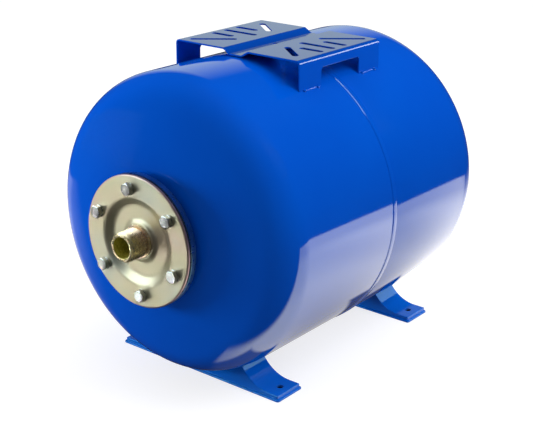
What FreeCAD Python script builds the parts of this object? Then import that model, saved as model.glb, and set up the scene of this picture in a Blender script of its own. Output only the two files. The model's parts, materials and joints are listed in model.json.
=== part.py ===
"""Horizontal well pressure tank: two drawn steel halves, a bolted water flange with a rubber
bladder behind it, a folded pump bracket on top, two pressed feet below and an air valve at the rear.

Millimetres. X runs across the tank, Y along it with the water flange at -Y, and Z is up.
The origin is on the floor, in the middle of the part's bounding box.
"""
import FreeCAD, Part
import math
import os

# Shell
shell_radius = 173.5
shell_wall = 1.8
half_cylinder = 158.0
crown_radius = 475.0
knuckle_radius = 45.0
ground_clearance = 19.0
joggle_tongue = 9.0
joggle_start = 1.5
joggle_run = 4.5
joggle_clearance = 0.1

# Weld seam round the girth
bead_overlap = 2.0
bead_height = 1.0

# Water flange stack, front to back
flange_radius = 75.0
flange_stand_off = 14.8
cover_thickness = 3.0
lip_step = 1.0
ring_thickness = 8.0
ring_edge_radius = 0.8
cover_edge_radius = 2.2
recess_outer_radius = 50.1
recess_inner_radius = 39.8
recess_depth = 7.0
collar_height = 3.5
collar_top_radius = 20.6
collar_foot_radius = 24.2
recess_bend = 3.0
collar_bend = 1.2

# Neck of the front half
neck_root_radius = 0.8
neck_fit = 0.1
neck_weld_leg = 2.0

# Nozzle, G1 male thread
thread_radius = 16.62
thread_length = 20.8
thread_chamfer = 1.6
undercut_radius = 15.0
undercut_length = 3.0
shoulder_radius = 18.8
shoulder_length = 2.5
spigot_radius = 16.9
spigot_fit = 0.1
spigot_stub = 3.0
nozzle_bore_radius = 12.0
nozzle_weld_leg = 2.0

# Flange bolts, M8
bolt_count = 6
bolt_circle_radius = 60.0
bolt_phase = -6.8
bolt_twist = 17.0
bolt_radius = 4.0
bolt_length = 18.0
bolt_point = 0.8
head_flats = 13.0
head_height = 5.3
head_chamfer = 0.9
dimple_radius = 3.0
dimple_depth = 0.5
bolt_clearance = 0.5
lip_clearance = 1.0
thread_fit = 0.05
washer_outer_radius = 7.3
washer_thickness = 2.0
washer_fit = 0.2
washer_split = 1.4
washer_split_angle = 20.0

# Bladder
bladder_wall = 2.0
bladder_clearance = 0.3
throat_reach = 10.0
bag_radius = 128.0
bag_shoulder_length = 62.0
bag_length = 300.0
bag_end_length = 45.0
bag_end_radius = 40.0
shoulder_bend = 30.0
throat_bend = 3.0
lip_bend = 1.0
end_bend = 25.0

# Pump bracket
bracket_sheet = 2.0
bracket_half_width = 90.6
bracket_length = 154.0
bracket_offset = 4.7
platform_rise = 5.7
platform_inner_x = 17.8
valley_half_width = 8.0
leg_bend = 2.5
valley_bend = 1.5
window_length = 73.0
window_drop = 13.7
window_corner = 4.5
drain_hole_x = -4.0
drain_hole_radius = 3.0
slot_width = 7.5
cross_slot_pitch = 22.5
cross_slot_outer_x = 81.5
cross_slot_length = 49.0
short_slot_length = 32.0
diagonal_angle = 40.0
lifting_slot_x = 53.8
lifting_slot_inset = 33.0
lifting_slot_length = 48.0
long_slot_x = 56.6
long_slot_inset = 27.3
long_slot_length = 55.0
tack_radius = 3.2
tack_outer_inset = 9.0
tack_window_inset = 6.5

# Feet
foot_sheet = 2.5
foot_half_length = 122.0
foot_width = 45.0
foot_rim = 2.2
foot_rim_corner = 3.0
front_foot_offset = 121.0
rear_foot_offset = 151.0
pad_height = 6.8
pad_length = 15.0
ramp_radius = 45.0
crest_overshoot = 6.0
saddle_gap = 0.3
crest_radius = 2.5
foot_edge_radius = 3.5
foot_hole_x = 107.0
foot_hole_radius = 4.0
foot_weld_radius = 2.2
foot_weld_length = 14.0
foot_weld_angle = 14.0

# Air valve at the rear
boss_radius = 12.0
boss_height = 6.0
boss_spigot_radius = 10.0
boss_spigot_stub = 2.0
boss_fit = 0.1
boss_weld_leg = 3.0
valve_thread_radius = 5.4
valve_thread_length = 8.5
valve_thread_fit = 0.05
gasket_thickness = 1.0
gasket_outer_radius = 6.8
gasket_fit = 0.1
valve_hex_flats = 14.0
valve_hex_height = 4.5
stem_radius = 3.85
stem_length = 12.0
stem_chamfer = 0.6
stem_bore_radius = 2.7
stem_bore_depth = 20.0
air_hole_radius = 1.8

# Valve core, lengths measured inwards from the stem's tip
core_fit = 0.1
core_start = 1.0
chamber_radius = 1.6
chamber_end = 7.0
guide_fit = 0.1
core_end = 13.0
pin_radius = 0.6
pin_start = 0.4
spring_collar_start = 1.6
spring_collar_length = 0.7
spring_collar_radius = 1.3
pin_seal_gap = 0.05
pin_seal_radius = 2.0
pin_seal_length = 2.2
pin_foot_radius = 1.3
pin_foot_length = 1.2
spring_wire_radius = 0.16
spring_mean_radius = 1.08
spring_turns = 4.0
spring_seat_gap = 0.05

# Valve cap
cap_radius = 6.0
cap_skirt = 9.5
cap_top = 1.5
cap_seal_thickness = 1.0
cap_seal_gap = 0.05
cap_thread_fit = 0.1
cap_seal_fit = 0.2
cap_groove_count = 12
cap_groove_radius = 0.7
cap_groove_depth = 0.35
cap_edge_radius = 0.8

# Places worked out from the sizes above
axis_height = shell_radius + ground_clearance
crown_centre = math.sqrt((crown_radius - knuckle_radius) ** 2 - (shell_radius - knuckle_radius) ** 2)
knuckle_angle = math.asin((shell_radius - knuckle_radius) / (crown_radius - knuckle_radius))
head_depth = crown_radius - crown_centre
apex_reach = half_cylinder + head_depth
face_reach = apex_reach + flange_stand_off
collar_reach = face_reach - recess_depth + collar_height
nozzle_length = thread_length + undercut_length + shoulder_length
front_reach = collar_reach + nozzle_length
stem_tip_reach = apex_reach + boss_height + gasket_thickness + valve_hex_height + stem_length
rear_reach = stem_tip_reach + cap_seal_gap + cap_seal_thickness + cap_top
girth_y = (front_reach - rear_reach) / 2
face_y = girth_y - face_reach
lip_y = face_y + cover_thickness
ring_y = lip_y + bladder_wall
ring_back_y = ring_y + ring_thickness
collar_y = girth_y - collar_reach
rear_apex_y = girth_y + apex_reach
stem_tip_y = girth_y + stem_tip_reach
bead_radius = shell_radius + bead_height
platform_z = axis_height + bead_radius + bracket_sheet + platform_rise
bracket_y = girth_y + bracket_offset
back_slope = math.atan2(recess_depth, recess_outer_radius - recess_inner_radius)
back_corner_radius = recess_outer_radius + cover_thickness * math.tan(back_slope / 2)
lip_turn = lip_bend + bladder_wall
lip_turn_shift = (lip_turn * (1 - math.cos(back_slope)) + bladder_clearance) / math.sin(back_slope)
throat_inner_radius = back_corner_radius - lip_turn + lip_turn_shift
neck_inner_radius = throat_inner_radius + bladder_wall + bladder_clearance
neck_outer_radius = neck_inner_radius + shell_wall
across_y = FreeCAD.Vector(0, 1, 0)
upwards = FreeCAD.Vector(0, 0, 1)


def vector(x, y, z=0.0):
    return FreeCAD.Vector(x, y, z)


def outline(start, *steps):
    """Closed face in the XY plane: a step is a point, or a pair of a mid point and an end of an arc."""
    edges = []
    here = start
    for step in steps + (start,):
        if isinstance(step[0], tuple):
            middle, end = step
            edges.append(Part.Arc(vector(*here), vector(*middle), vector(*end)).toShape())
        else:
            end = step
            if math.dist(here, end) > 1e-6:
                edges.append(Part.LineSegment(vector(*here), vector(*end)).toShape())
        here = end
    return Part.Face(Part.Wire(edges))


def turned(face):
    """Turn a face, drawn as radius and y, about the tank's axis."""
    solid = face.revolve(vector(0, 0, 0), across_y, 360)
    solid.translate(upwards * axis_height)
    return solid


def bar(radius, y0, y1, x=0.0, z=None):
    """Round bar along Y between two places."""
    height = axis_height if z is None else z
    return Part.makeCylinder(radius, y1 - y0, vector(x, y0, height), across_y)


def bent_face(points, thickness, bends, side=1):
    """Section of a sheet: one face follows the points, the other lies on the given side of it.

    Each bend is the inside radius at its corner, so both faces of a bend share one centre.
    """
    near, far = [], []
    for index, point in enumerate(points):
        if index in (0, len(points) - 1):
            other = points[1] if index == 0 else points[-2]
            sign = 1 if index == 0 else -1
            along = sign * (vector(*other) - vector(*point)).normalize()
            normal = vector(-along.y, along.x) * side
            near.append([vector(*point)])
            far.append([vector(*point) + normal * thickness])
            continue
        corner = vector(*point)
        come = (corner - vector(*points[index - 1])).normalize()
        leave = (vector(*points[index + 1]) - corner).normalize()
        turn = math.asin(max(-1.0, min(1.0, come.x * leave.y - come.y * leave.x)))
        towards = 1 if turn * side > 0 else -1
        near_radius = bends[index - 1] + (thickness if towards > 0 else 0.0)
        far_radius = bends[index - 1] + (0.0 if towards > 0 else thickness)
        reach = near_radius * math.tan(abs(turn) / 2)
        inwards = vector(-come.y, come.x) * side * towards
        centre = corner - come * reach + inwards * near_radius
        bisector = (corner - centre).normalize()
        leaving = vector(-leave.y, leave.x) * side * towards
        for faces, radius in ((near, near_radius), (far, far_radius)):
            faces.append([centre - inwards * radius, centre + bisector * radius, centre - leaving * radius])
    far = [list(reversed(part)) for part in reversed(far)]
    edges = []
    here = near[0][0]
    for part in near[1:] + far + [[near[0][0]]]:
        if (part[0] - here).Length > 1e-6:
            edges.append(Part.LineSegment(here, part[0]).toShape())
        if len(part) == 3 and (part[0] - part[2]).Length > 1e-6:
            edges.append(Part.Arc(*part).toShape())
        here = part[-1]
    return Part.Face(Part.Wire(edges))


def polar(angle, radius=bolt_circle_radius):
    """Place on the flange face at an angle from the top, seen from the front."""
    turn = math.radians(angle)
    return radius * math.sin(turn), axis_height + radius * math.cos(turn)


def bolt_places():
    return [polar(bolt_phase + index * 360 / bolt_count) for index in range(bolt_count)]


def round_edges(solid, radius, wanted):
    edges = [edge for edge in solid.Edges if wanted(edge)]
    return solid.makeFillet(radius, edges)


def is_circle(edge, radius, y):
    """True for a full round edge about the tank's axis at this radius and y."""
    curve = edge.Curve
    if not isinstance(curve, Part.Circle):
        return False
    return abs(curve.Radius - radius) < 1e-3 and abs(curve.Center.y - y) < 1e-3


def crown_reach(radius, inset=0.0):
    """Distance from the girth to the domed head at a radius."""
    return half_cylinder + math.sqrt((crown_radius - inset) ** 2 - radius ** 2) - crown_centre


def head_arcs(opening, inset, direction):
    """Points of a head's section from its opening to the end of the knuckle."""
    crown = crown_radius - inset
    knuckle = knuckle_radius - inset
    start_angle = math.asin(opening / crown)
    middle_angle = (start_angle + knuckle_angle) / 2
    bend_angle = (knuckle_angle + math.pi / 2) / 2
    knuckle_centre = shell_radius - knuckle_radius

    def crown_point(angle):
        reach = half_cylinder + crown * math.cos(angle) - crown_centre
        return crown * math.sin(angle), girth_y + direction * reach

    def knuckle_point(angle):
        reach = half_cylinder + knuckle * math.cos(angle)
        return knuckle_centre + knuckle * math.sin(angle), girth_y + direction * reach

    return (crown_point(start_angle), crown_point(middle_angle), crown_point(knuckle_angle),
            knuckle_point(bend_angle), knuckle_point(math.pi / 2))


def front_shell():
    """Front half, with its neck drawn outwards to carry the flange ring."""
    outer = head_arcs(neck_outer_radius, 0.0, -1)
    inner = head_arcs(neck_inner_radius, shell_wall, -1)
    face = outline(
        (neck_outer_radius, ring_y),
        outer[0],
        (outer[1], outer[2]),
        (outer[3], outer[4]),
        (shell_radius, girth_y),
        (shell_radius - shell_wall, girth_y),
        inner[4],
        (inner[3], inner[2]),
        (inner[1], inner[0]),
        (neck_inner_radius, ring_y),
    )
    solid = turned(face)
    solid = round_edges(solid, lip_bend, lambda e: is_circle(e, neck_inner_radius, ring_y))
    solid = round_edges(solid, neck_root_radius, lambda e: is_circle(e, neck_outer_radius, outer[0][1]))
    inner_root = neck_root_radius + shell_wall
    return round_edges(solid, inner_root, lambda e: is_circle(e, neck_inner_radius, inner[0][1]))


def rear_shell():
    """Rear half, with a hole for the valve boss and a joggled tongue inside the front half."""
    outer = head_arcs(boss_spigot_radius + boss_fit, 0.0, 1)
    inner = head_arcs(boss_spigot_radius + boss_fit, shell_wall, 1)
    inside = shell_radius - shell_wall
    tongue = inside - joggle_clearance
    tongue_end = girth_y - joggle_tongue
    step_start = girth_y + joggle_start
    step_end = step_start + joggle_run
    face = outline(
        outer[0],
        (outer[1], outer[2]),
        (outer[3], outer[4]),
        (shell_radius, step_end),
        (tongue, step_start),
        (tongue, tongue_end),
        (tongue - shell_wall, tongue_end),
        (tongue - shell_wall, step_start),
        (inside, step_end),
        inner[4],
        (inner[3], inner[2]),
        (inner[1], inner[0]),
    )
    return turned(face)


def girth_weld():
    """Weld bead that fills the joggle and stands a little proud of both halves."""
    groove = shell_radius - shell_wall - joggle_clearance
    low = girth_y - bead_overlap
    high = girth_y + joggle_start + joggle_run
    crest = (bead_radius, (low + high) / 2)
    face = outline(
        (shell_radius, low),
        (crest, (shell_radius, high)),
        (groove, girth_y + joggle_start),
        (groove, girth_y),
        (shell_radius, girth_y),
    )
    return turned(face)


def neck_ring():
    """Loose ring on the neck with the tapped holes for the flange bolts."""
    bore = neck_outer_radius + neck_fit
    solid = bar(flange_radius, ring_y, ring_back_y).cut(bar(bore, ring_y - 1, ring_back_y + 1))
    for x, z in bolt_places():
        solid = solid.cut(bar(bolt_radius + thread_fit, ring_y - 1, ring_back_y + 1, x, z))
    rims = (ring_y, ring_back_y)
    return round_edges(solid, ring_edge_radius,
                       lambda e: any(is_circle(e, flange_radius, y) for y in rims))


def neck_weld():
    """Fillet weld between the back of the ring and the neck."""
    root = neck_outer_radius + neck_fit
    face = outline(
        (neck_outer_radius, ring_back_y),
        (root + neck_weld_leg, ring_back_y),
        (neck_outer_radius, ring_back_y + neck_weld_leg),
    )
    return turned(face)


def flange_cover():
    """Pressed disc: flat bolting face, recessed middle and a raised collar round the nozzle."""
    disc_y = face_y + recess_depth
    points = [
        (spigot_radius + spigot_fit, collar_y),
        (collar_top_radius, collar_y),
        (collar_foot_radius, disc_y),
        (recess_inner_radius, disc_y),
        (recess_outer_radius, face_y),
        (flange_radius, face_y),
    ]
    bends = [collar_bend, collar_bend, recess_bend, recess_bend]
    solid = turned(bent_face(points, cover_thickness, bends))
    solid = round_edges(solid, cover_edge_radius, lambda e: is_circle(e, flange_radius, face_y))
    for x, z in bolt_places():
        solid = solid.cut(bar(bolt_radius + bolt_clearance, face_y - 1, lip_y + 1, x, z))
    return solid


def bladder():
    """Rubber bag: its lip is clamped under the cover and its throat passes through the neck."""
    throat_end_y = ring_back_y + throat_reach
    shoulder_y = throat_end_y + bag_shoulder_length
    bag_end_y = lip_y + bag_length
    points = [
        (flange_radius - lip_step, lip_y),
        (throat_inner_radius, lip_y),
        (throat_inner_radius, throat_end_y),
        (bag_radius, shoulder_y),
        (bag_radius, bag_end_y),
        (bag_end_radius, bag_end_y + bag_end_length),
        (0.0, bag_end_y + bag_end_length),
    ]
    bends = [lip_bend, throat_bend, shoulder_bend, shoulder_bend, end_bend]
    solid = turned(bent_face(points, bladder_wall, bends, side=-1))
    for x, z in bolt_places():
        solid = solid.cut(bar(bolt_radius + lip_clearance, lip_y - 1, ring_y + 1, x, z))
    return solid


def nozzle():
    """Turned nipple: thread, undercut, shoulder on the collar, and a spigot through the cover."""
    tip_y = collar_y - nozzle_length
    thread_end = tip_y + thread_length
    shoulder_y = thread_end + undercut_length
    spigot_end = collar_y + cover_thickness + spigot_stub
    face = outline(
        (nozzle_bore_radius, tip_y),
        (thread_radius - thread_chamfer, tip_y),
        (thread_radius, tip_y + thread_chamfer),
        (thread_radius, thread_end),
        (undercut_radius, thread_end + (thread_radius - undercut_radius) / 2),
        (undercut_radius, shoulder_y),
        (shoulder_radius, shoulder_y),
        (shoulder_radius, collar_y),
        (spigot_radius, collar_y),
        (spigot_radius, spigot_end),
        (nozzle_bore_radius, spigot_end),
    )
    return turned(face)


def nozzle_weld():
    """Fillet weld that seals the spigot to the back of the cover."""
    back_y = collar_y + cover_thickness
    face = outline(
        (spigot_radius, back_y),
        (spigot_radius + nozzle_weld_leg, back_y),
        (spigot_radius, back_y + nozzle_weld_leg),
    )
    return turned(face)


def hexagon(flats, y0, y1, x, z, turn):
    """Six-sided bar along Y."""
    corner = flats / 2 / math.cos(math.radians(30))
    angles = [math.radians(turn + index * 60) for index in range(7)]
    points = [vector(x + corner * math.cos(a), y0, z + corner * math.sin(a)) for a in angles]
    return Part.Face(Part.makePolygon(points)).extrude(vector(0, y1 - y0, 0))


def flange_bolt(x, z, turn):
    """Hexagon bolt with a chamfered, dimpled head and a chamfered point."""
    seat_y = face_y - washer_thickness
    top_y = seat_y - head_height
    point_y = seat_y + bolt_length
    corner = head_flats / 2 / math.cos(math.radians(30))
    head = hexagon(head_flats, top_y, seat_y, x, z, turn)
    slope = head_chamfer / math.tan(math.radians(30))
    cone = Part.makeCone(corner - slope, corner + head_height, slope + head_height,
                         vector(x, top_y, z), across_y)
    head = head.common(cone)
    ball = (dimple_radius ** 2 + dimple_depth ** 2) / (2 * dimple_depth)
    head = head.cut(Part.makeSphere(ball, vector(x, top_y - ball + dimple_depth, z)))
    shank = bar(bolt_radius, seat_y, point_y - bolt_point, x, z)
    tip = Part.makeCone(bolt_radius, bolt_radius - bolt_point, bolt_point,
                        vector(x, point_y - bolt_point, z), across_y)
    return head.fuse([shank, tip]).removeSplitter()


def flange_bolts():
    places = enumerate(bolt_places())
    return Part.makeCompound([flange_bolt(x, z, bolt_twist * index) for index, (x, z) in places])


def lock_washer(x, z, angle):
    """Split spring washer under one bolt head."""
    y0 = face_y - washer_thickness
    ring = bar(washer_outer_radius, y0, face_y, x, z)
    ring = ring.cut(bar(bolt_radius + washer_fit, y0 - 1, face_y + 1, x, z))
    gap = Part.makeBox(washer_split, washer_thickness * 3, washer_outer_radius * 2,
                       vector(x - washer_split / 2, y0 - washer_thickness, z))
    gap.rotate(vector(x, y0 + washer_thickness / 2, z), upwards, washer_split_angle)
    gap.rotate(vector(x, y0, z), across_y, angle)
    return ring.cut(gap)


def flange_lock_washers():
    places = enumerate(bolt_places())
    return Part.makeCompound([lock_washer(x, z, 45 + 70 * index) for index, (x, z) in places])


def slot_cutter(x, y, length, angle):
    """Upright cutter with round ends for one slot of the platforms."""
    half = (length - slot_width) / 2
    radius = slot_width / 2
    low = platform_z - bracket_sheet * 2
    height = bracket_sheet * 3
    cutter = Part.makeBox(2 * half, slot_width, height, vector(-half, -radius, low))
    for end in (-half, half):
        cutter = cutter.fuse(Part.makeCylinder(radius, height, vector(end, 0, low)))
    cutter = cutter.removeSplitter()
    cutter.rotate(vector(0, 0, 0), upwards, angle)
    cutter.translate(vector(x, y, 0))
    return cutter


def platform_slots():
    """Slots of the right platform; the left one has the same pattern turned by half a turn."""
    slots = []
    for row, length in ((-1, short_slot_length), (0, cross_slot_length), (1, short_slot_length)):
        slots.append((cross_slot_outer_x - length / 2, row * cross_slot_pitch, length, 0.0))
    half = bracket_length / 2
    slots.append((lifting_slot_x, lifting_slot_inset - half, lifting_slot_length, -diagonal_angle))
    slots.append((long_slot_x, half - long_slot_inset, long_slot_length, diagonal_angle))
    cutters = []
    for x, y, length, angle in slots:
        for sign in (1, -1):
            cutters.append(slot_cutter(sign * x, bracket_y + sign * y, length, angle))
    return cutters


def pump_bracket():
    """Folded sheet: leg, platform, valley that rests on the girth weld, platform, leg."""
    foot_z = axis_height
    valley_z = platform_z - platform_rise
    half = [
        (valley_half_width, valley_z),
        (platform_inner_x, platform_z),
        (bracket_half_width, platform_z),
        (bracket_half_width, foot_z),
    ]
    points = [(-x, z) for x, z in reversed(half)] + half
    bends = [leg_bend, valley_bend, valley_bend, valley_bend, valley_bend, leg_bend]
    face = bent_face(points, bracket_sheet, bends, side=-1)
    solid = face.extrude(vector(0, 0, bracket_length))
    solid.rotate(vector(0, 0, 0), vector(1, 0, 0), 90)
    solid.translate(vector(0, bracket_y + bracket_length / 2, 0))
    top = platform_z - window_drop
    window = Part.makeBox(4 * bracket_half_width, window_length, top - foot_z + 1,
                          vector(-2 * bracket_half_width, bracket_y - window_length / 2, foot_z - 1))
    window = round_edges(window, window_corner, lambda e: abs(e.CenterOfMass.z - top) < 1e-3
                         and abs(e.CenterOfMass.x) < 1e-3)
    valley = Part.makeBox(2 * platform_inner_x + 20, 2 * bracket_length, bracket_length,
                          vector(-platform_inner_x - 10, bracket_y - bracket_length, top))
    solid = solid.cut(window.cut(valley))
    hull = bar(shell_radius, girth_y - half_cylinder, girth_y + half_cylinder)
    solid = solid.cut([hull] + platform_slots())
    drain = Part.makeCylinder(drain_hole_radius, 3 * platform_rise,
                              vector(drain_hole_x, bracket_y, axis_height + bead_radius - platform_rise))
    return solid.cut(drain)


def bracket_welds():
    """Two small tacks at the foot of each half leg."""
    leg_x = bracket_half_width
    leg_z = axis_height + math.sqrt(shell_radius ** 2 - leg_x ** 2)
    outer = bracket_length / 2 - tack_outer_inset
    inner = window_length / 2 + tack_window_inset
    hull = bar(shell_radius, girth_y - half_cylinder, girth_y + half_cylinder)
    slab = Part.makeBox(2 * leg_x, 2 * bracket_length, platform_z,
                        vector(-leg_x, bracket_y - bracket_length, 0))
    tacks = []
    for side in (-1, 1):
        for y in (-outer, -inner, inner, outer):
            ball = Part.makeSphere(tack_radius, vector(side * leg_x, bracket_y + y, leg_z))
            tacks.append(ball.cut([hull, slab]))
    return Part.makeCompound(tacks)


def foot_block(inset, width, lift):
    """Solid form of a foot: pads, hollow ramps and the saddle under the shell, inset on all sides."""
    end_x = foot_half_length - foot_rim - inset
    ramp_x = end_x + inset - pad_length
    radius = ramp_radius + inset
    pad_z = pad_height - inset
    centre_z = pad_height + ramp_radius
    saddle = shell_radius + saddle_gap + inset
    rise = axis_height - centre_z
    apart = math.hypot(ramp_x, rise)
    at_centre = math.acos((radius ** 2 + apart ** 2 - saddle ** 2) / (2 * radius * apart))
    meeting = math.pi / 2 + math.atan2(rise, ramp_x) - at_centre
    sweep = meeting + math.radians(crest_overshoot)

    def ramp_point(side, angle):
        return side * (ramp_x - radius * math.sin(angle)), centre_z - radius * math.cos(angle)

    face = outline(
        (-end_x, -lift),
        (-end_x, pad_z),
        (-ramp_x, pad_z),
        (ramp_point(-1, sweep / 2), ramp_point(-1, sweep)),
        ramp_point(1, sweep),
        (ramp_point(1, sweep / 2), (ramp_x, pad_z)),
        (end_x, pad_z),
        (end_x, -lift),
    )
    block = face.extrude(vector(0, 0, width))
    block.rotate(vector(0, 0, 0), vector(1, 0, 0), 90)
    block.translate(vector(0, width / 2, 0))
    return block.cut(bar(saddle, -width, width))


def foot(y):
    """Pressed saddle foot, open below, with a small rim on the floor and a bolt hole in each pad."""
    width = foot_width - 2 * foot_rim
    body = foot_block(0.0, width, 0.0)
    saddle_radius = shell_radius + saddle_gap

    def is_crest(edge):
        if edge.Length < width - 1 or abs(edge.tangentAt(edge.FirstParameter).y) < 0.99:
            return False
        place = edge.CenterOfMass
        return abs(math.hypot(place.x, place.z - axis_height) - saddle_radius) < 1e-3 and abs(place.x) > 10

    body = round_edges(body, crest_radius, is_crest)
    body = round_edges(body, foot_edge_radius, lambda e: e.CenterOfMass.z > 0.1)
    rim = Part.makeBox(2 * foot_half_length, foot_width, foot_sheet,
                       vector(-foot_half_length, -foot_width / 2, 0))
    rim = round_edges(rim, foot_rim_corner, lambda e: abs(e.CenterOfMass.z - foot_sheet / 2) < 1e-3)
    hollow = foot_block(foot_sheet, width - 2 * foot_sheet, foot_sheet)
    solid = body.fuse(rim).removeSplitter().cut(hollow)
    for side in (-1, 1):
        solid = solid.cut(Part.makeCylinder(foot_hole_radius, 2 * pad_height,
                                            vector(side * foot_hole_x, 0, 0)))
    solid.translate(vector(0, y, 0))
    return solid


def foot_welds():
    """Short fillet welds between the webs of the feet and the underside of the shell."""
    hull = bar(shell_radius, girth_y - half_cylinder - knuckle_radius,
               girth_y + half_cylinder + knuckle_radius)
    welds = []
    for foot_y in (girth_y - front_foot_offset, girth_y + rear_foot_offset):
        for side in (-1, 1):
            angle = math.radians(side * foot_weld_angle)
            x = shell_radius * math.sin(angle)
            z = axis_height - shell_radius * math.cos(angle)
            direction = vector(math.cos(angle), 0, math.sin(angle))
            for end in (-1, 1):
                y = foot_y + end * (foot_width / 2 - foot_rim)
                start = vector(x, y, z) - direction * (foot_weld_length / 2)
                rod = Part.makeCylinder(foot_weld_radius, foot_weld_length, start, direction)
                web = Part.makeBox(4 * foot_weld_length, foot_width - 2 * foot_rim, 4 * foot_weld_length,
                                   vector(x - 2 * foot_weld_length,
                                          foot_y - foot_width / 2 + foot_rim,
                                          z - 2 * foot_weld_length))
                welds.append(rod.cut([hull, web]))
    return Part.makeCompound(welds)


def valve_boss():
    """Turned socket through the rear head that holds the air valve."""
    bore = valve_thread_radius + valve_thread_fit
    inner_y = rear_apex_y - shell_wall - boss_spigot_stub
    face = outline(
        (bore, inner_y),
        (boss_spigot_radius, inner_y),
        (boss_spigot_radius, rear_apex_y),
        (boss_radius, rear_apex_y),
        (boss_radius, rear_apex_y + boss_height),
        (bore, rear_apex_y + boss_height),
    )
    return turned(face)


def boss_weld():
    """Fillet weld round the valve boss."""
    middle = boss_radius + boss_weld_leg / 2
    outer = boss_radius + boss_weld_leg
    face = outline(
        (boss_radius, girth_y + crown_reach(boss_radius)),
        ((middle, girth_y + crown_reach(middle)), (outer, girth_y + crown_reach(outer))),
        (boss_radius, girth_y + crown_reach(boss_radius) + boss_weld_leg),
    )
    return turned(face)


def valve_gasket():
    y0 = rear_apex_y + boss_height
    ring = bar(gasket_outer_radius, y0, y0 + gasket_thickness)
    return ring.cut(bar(valve_thread_radius + gasket_fit, y0 - 1, y0 + gasket_thickness + 1))


def valve_body():
    """Brass valve: thread in the boss, hexagon, and stem with the bore for the core."""
    hex_y = rear_apex_y + boss_height + gasket_thickness
    stem_y = hex_y + valve_hex_height
    inner_y = hex_y - gasket_thickness - valve_thread_length
    face = outline(
        (0.0, inner_y),
        (valve_thread_radius, inner_y),
        (valve_thread_radius, hex_y),
        (stem_radius, hex_y),
        (stem_radius, stem_tip_y - stem_chamfer),
        (stem_radius - stem_chamfer, stem_tip_y),
        (0.0, stem_tip_y),
    )
    body = turned(face)
    body = body.fuse(hexagon(valve_hex_flats, hex_y, stem_y, 0.0, axis_height, 0.0)).removeSplitter()
    bore_end = stem_tip_y - stem_bore_depth
    return body.cut([bar(stem_bore_radius, bore_end, stem_tip_y + 1),
                     bar(air_hole_radius, inner_y - 1, bore_end + 1)])


def core_bar(radius, start, end):
    """Round bar in the valve, between two depths below the stem's tip."""
    return bar(radius, stem_tip_y - end, stem_tip_y - start)


def valve_core():
    """Barrel of the valve core: spring chamber above, guide for the pin below."""
    barrel = core_bar(stem_bore_radius - core_fit, core_start, core_end)
    return barrel.cut([core_bar(chamber_radius, core_start - 1, chamber_end),
                       core_bar(pin_radius + guide_fit, chamber_end - 1, core_end + 1)])


def valve_pin():
    """Pin that is pressed to let air in, with its spring collar and its foot."""
    collar_end = spring_collar_start + spring_collar_length
    foot_start = core_end + pin_seal_gap + pin_seal_length
    pin = core_bar(pin_radius, pin_start, foot_start + pin_foot_length)
    collar = core_bar(spring_collar_radius, spring_collar_start, collar_end)
    foot_end = core_bar(pin_foot_radius, foot_start, foot_start + pin_foot_length)
    return pin.fuse([collar, foot_end]).removeSplitter()


def pin_seal():
    """Rubber seal that the spring holds against the end of the core."""
    start = core_end + pin_seal_gap
    ring = core_bar(pin_seal_radius, start, start + pin_seal_length)
    return ring.cut(core_bar(pin_radius, start - 1, start + pin_seal_length + 1))


def valve_spring():
    """Coil spring between the pin's collar and the floor of the chamber."""
    margin = spring_wire_radius + spring_seat_gap
    low = stem_tip_y - chamber_end + margin
    high = stem_tip_y - spring_collar_start - spring_collar_length - margin
    helix = Part.makeHelix((high - low) / spring_turns, high - low, spring_mean_radius)
    section = Part.Wire(Part.makeCircle(spring_wire_radius, vector(spring_mean_radius, 0, 0),
                                        vector(0, 1, 0)))
    coil = Part.Wire(helix).makePipeShell([section], True, True)
    coil.rotate(vector(0, 0, 0), vector(1, 0, 0), -90)
    coil.translate(vector(0, low, axis_height))
    return coil


def valve_cap():
    """Plastic screw cap over the stem, with finger grooves round its skirt."""
    inside = stem_radius + cap_thread_fit
    top = -cap_seal_gap - cap_seal_thickness - cap_top
    cap = core_bar(cap_radius, top, cap_skirt)
    cap = cap.cut(core_bar(inside, top + cap_top, cap_skirt + 1))
    cap = round_edges(cap, cap_edge_radius, lambda e: is_circle(e, cap_radius, stem_tip_y - top))
    reach = cap_radius + cap_groove_radius - cap_groove_depth
    for index in range(cap_groove_count):
        angle = index * 360 / cap_groove_count
        x, z = polar(angle, reach)
        cap = cap.cut(bar(cap_groove_radius, stem_tip_y - cap_skirt - 1,
                          stem_tip_y - top - 2 * cap_edge_radius, x, z))
    return cap


def cap_seal():
    """Rubber disc in the cap that closes the stem."""
    inside = stem_radius + cap_thread_fit - cap_seal_fit
    return core_bar(inside, -cap_seal_gap - cap_seal_thickness, -cap_seal_gap)


nodes = {
    "front_shell": front_shell,
    "rear_shell": rear_shell,
    "girth_weld": girth_weld,
    "neck_ring": neck_ring,
    "neck_weld": neck_weld,
    "bladder": bladder,
    "flange_cover": flange_cover,
    "nozzle": nozzle,
    "nozzle_weld": nozzle_weld,
    "flange_bolts": flange_bolts,
    "flange_lock_washers": flange_lock_washers,
    "pump_bracket": pump_bracket,
    "bracket_welds": bracket_welds,
    "front_foot": lambda: foot(girth_y - front_foot_offset),
    "rear_foot": lambda: foot(girth_y + rear_foot_offset),
    "foot_welds": foot_welds,
    "valve_boss": valve_boss,
    "boss_weld": boss_weld,
    "valve_gasket": valve_gasket,
    "valve_body": valve_body,
    "valve_core": valve_core,
    "valve_pin": valve_pin,
    "pin_seal": pin_seal,
    "valve_spring": valve_spring,
    "valve_cap": valve_cap,
    "cap_seal": cap_seal,
}

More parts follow.
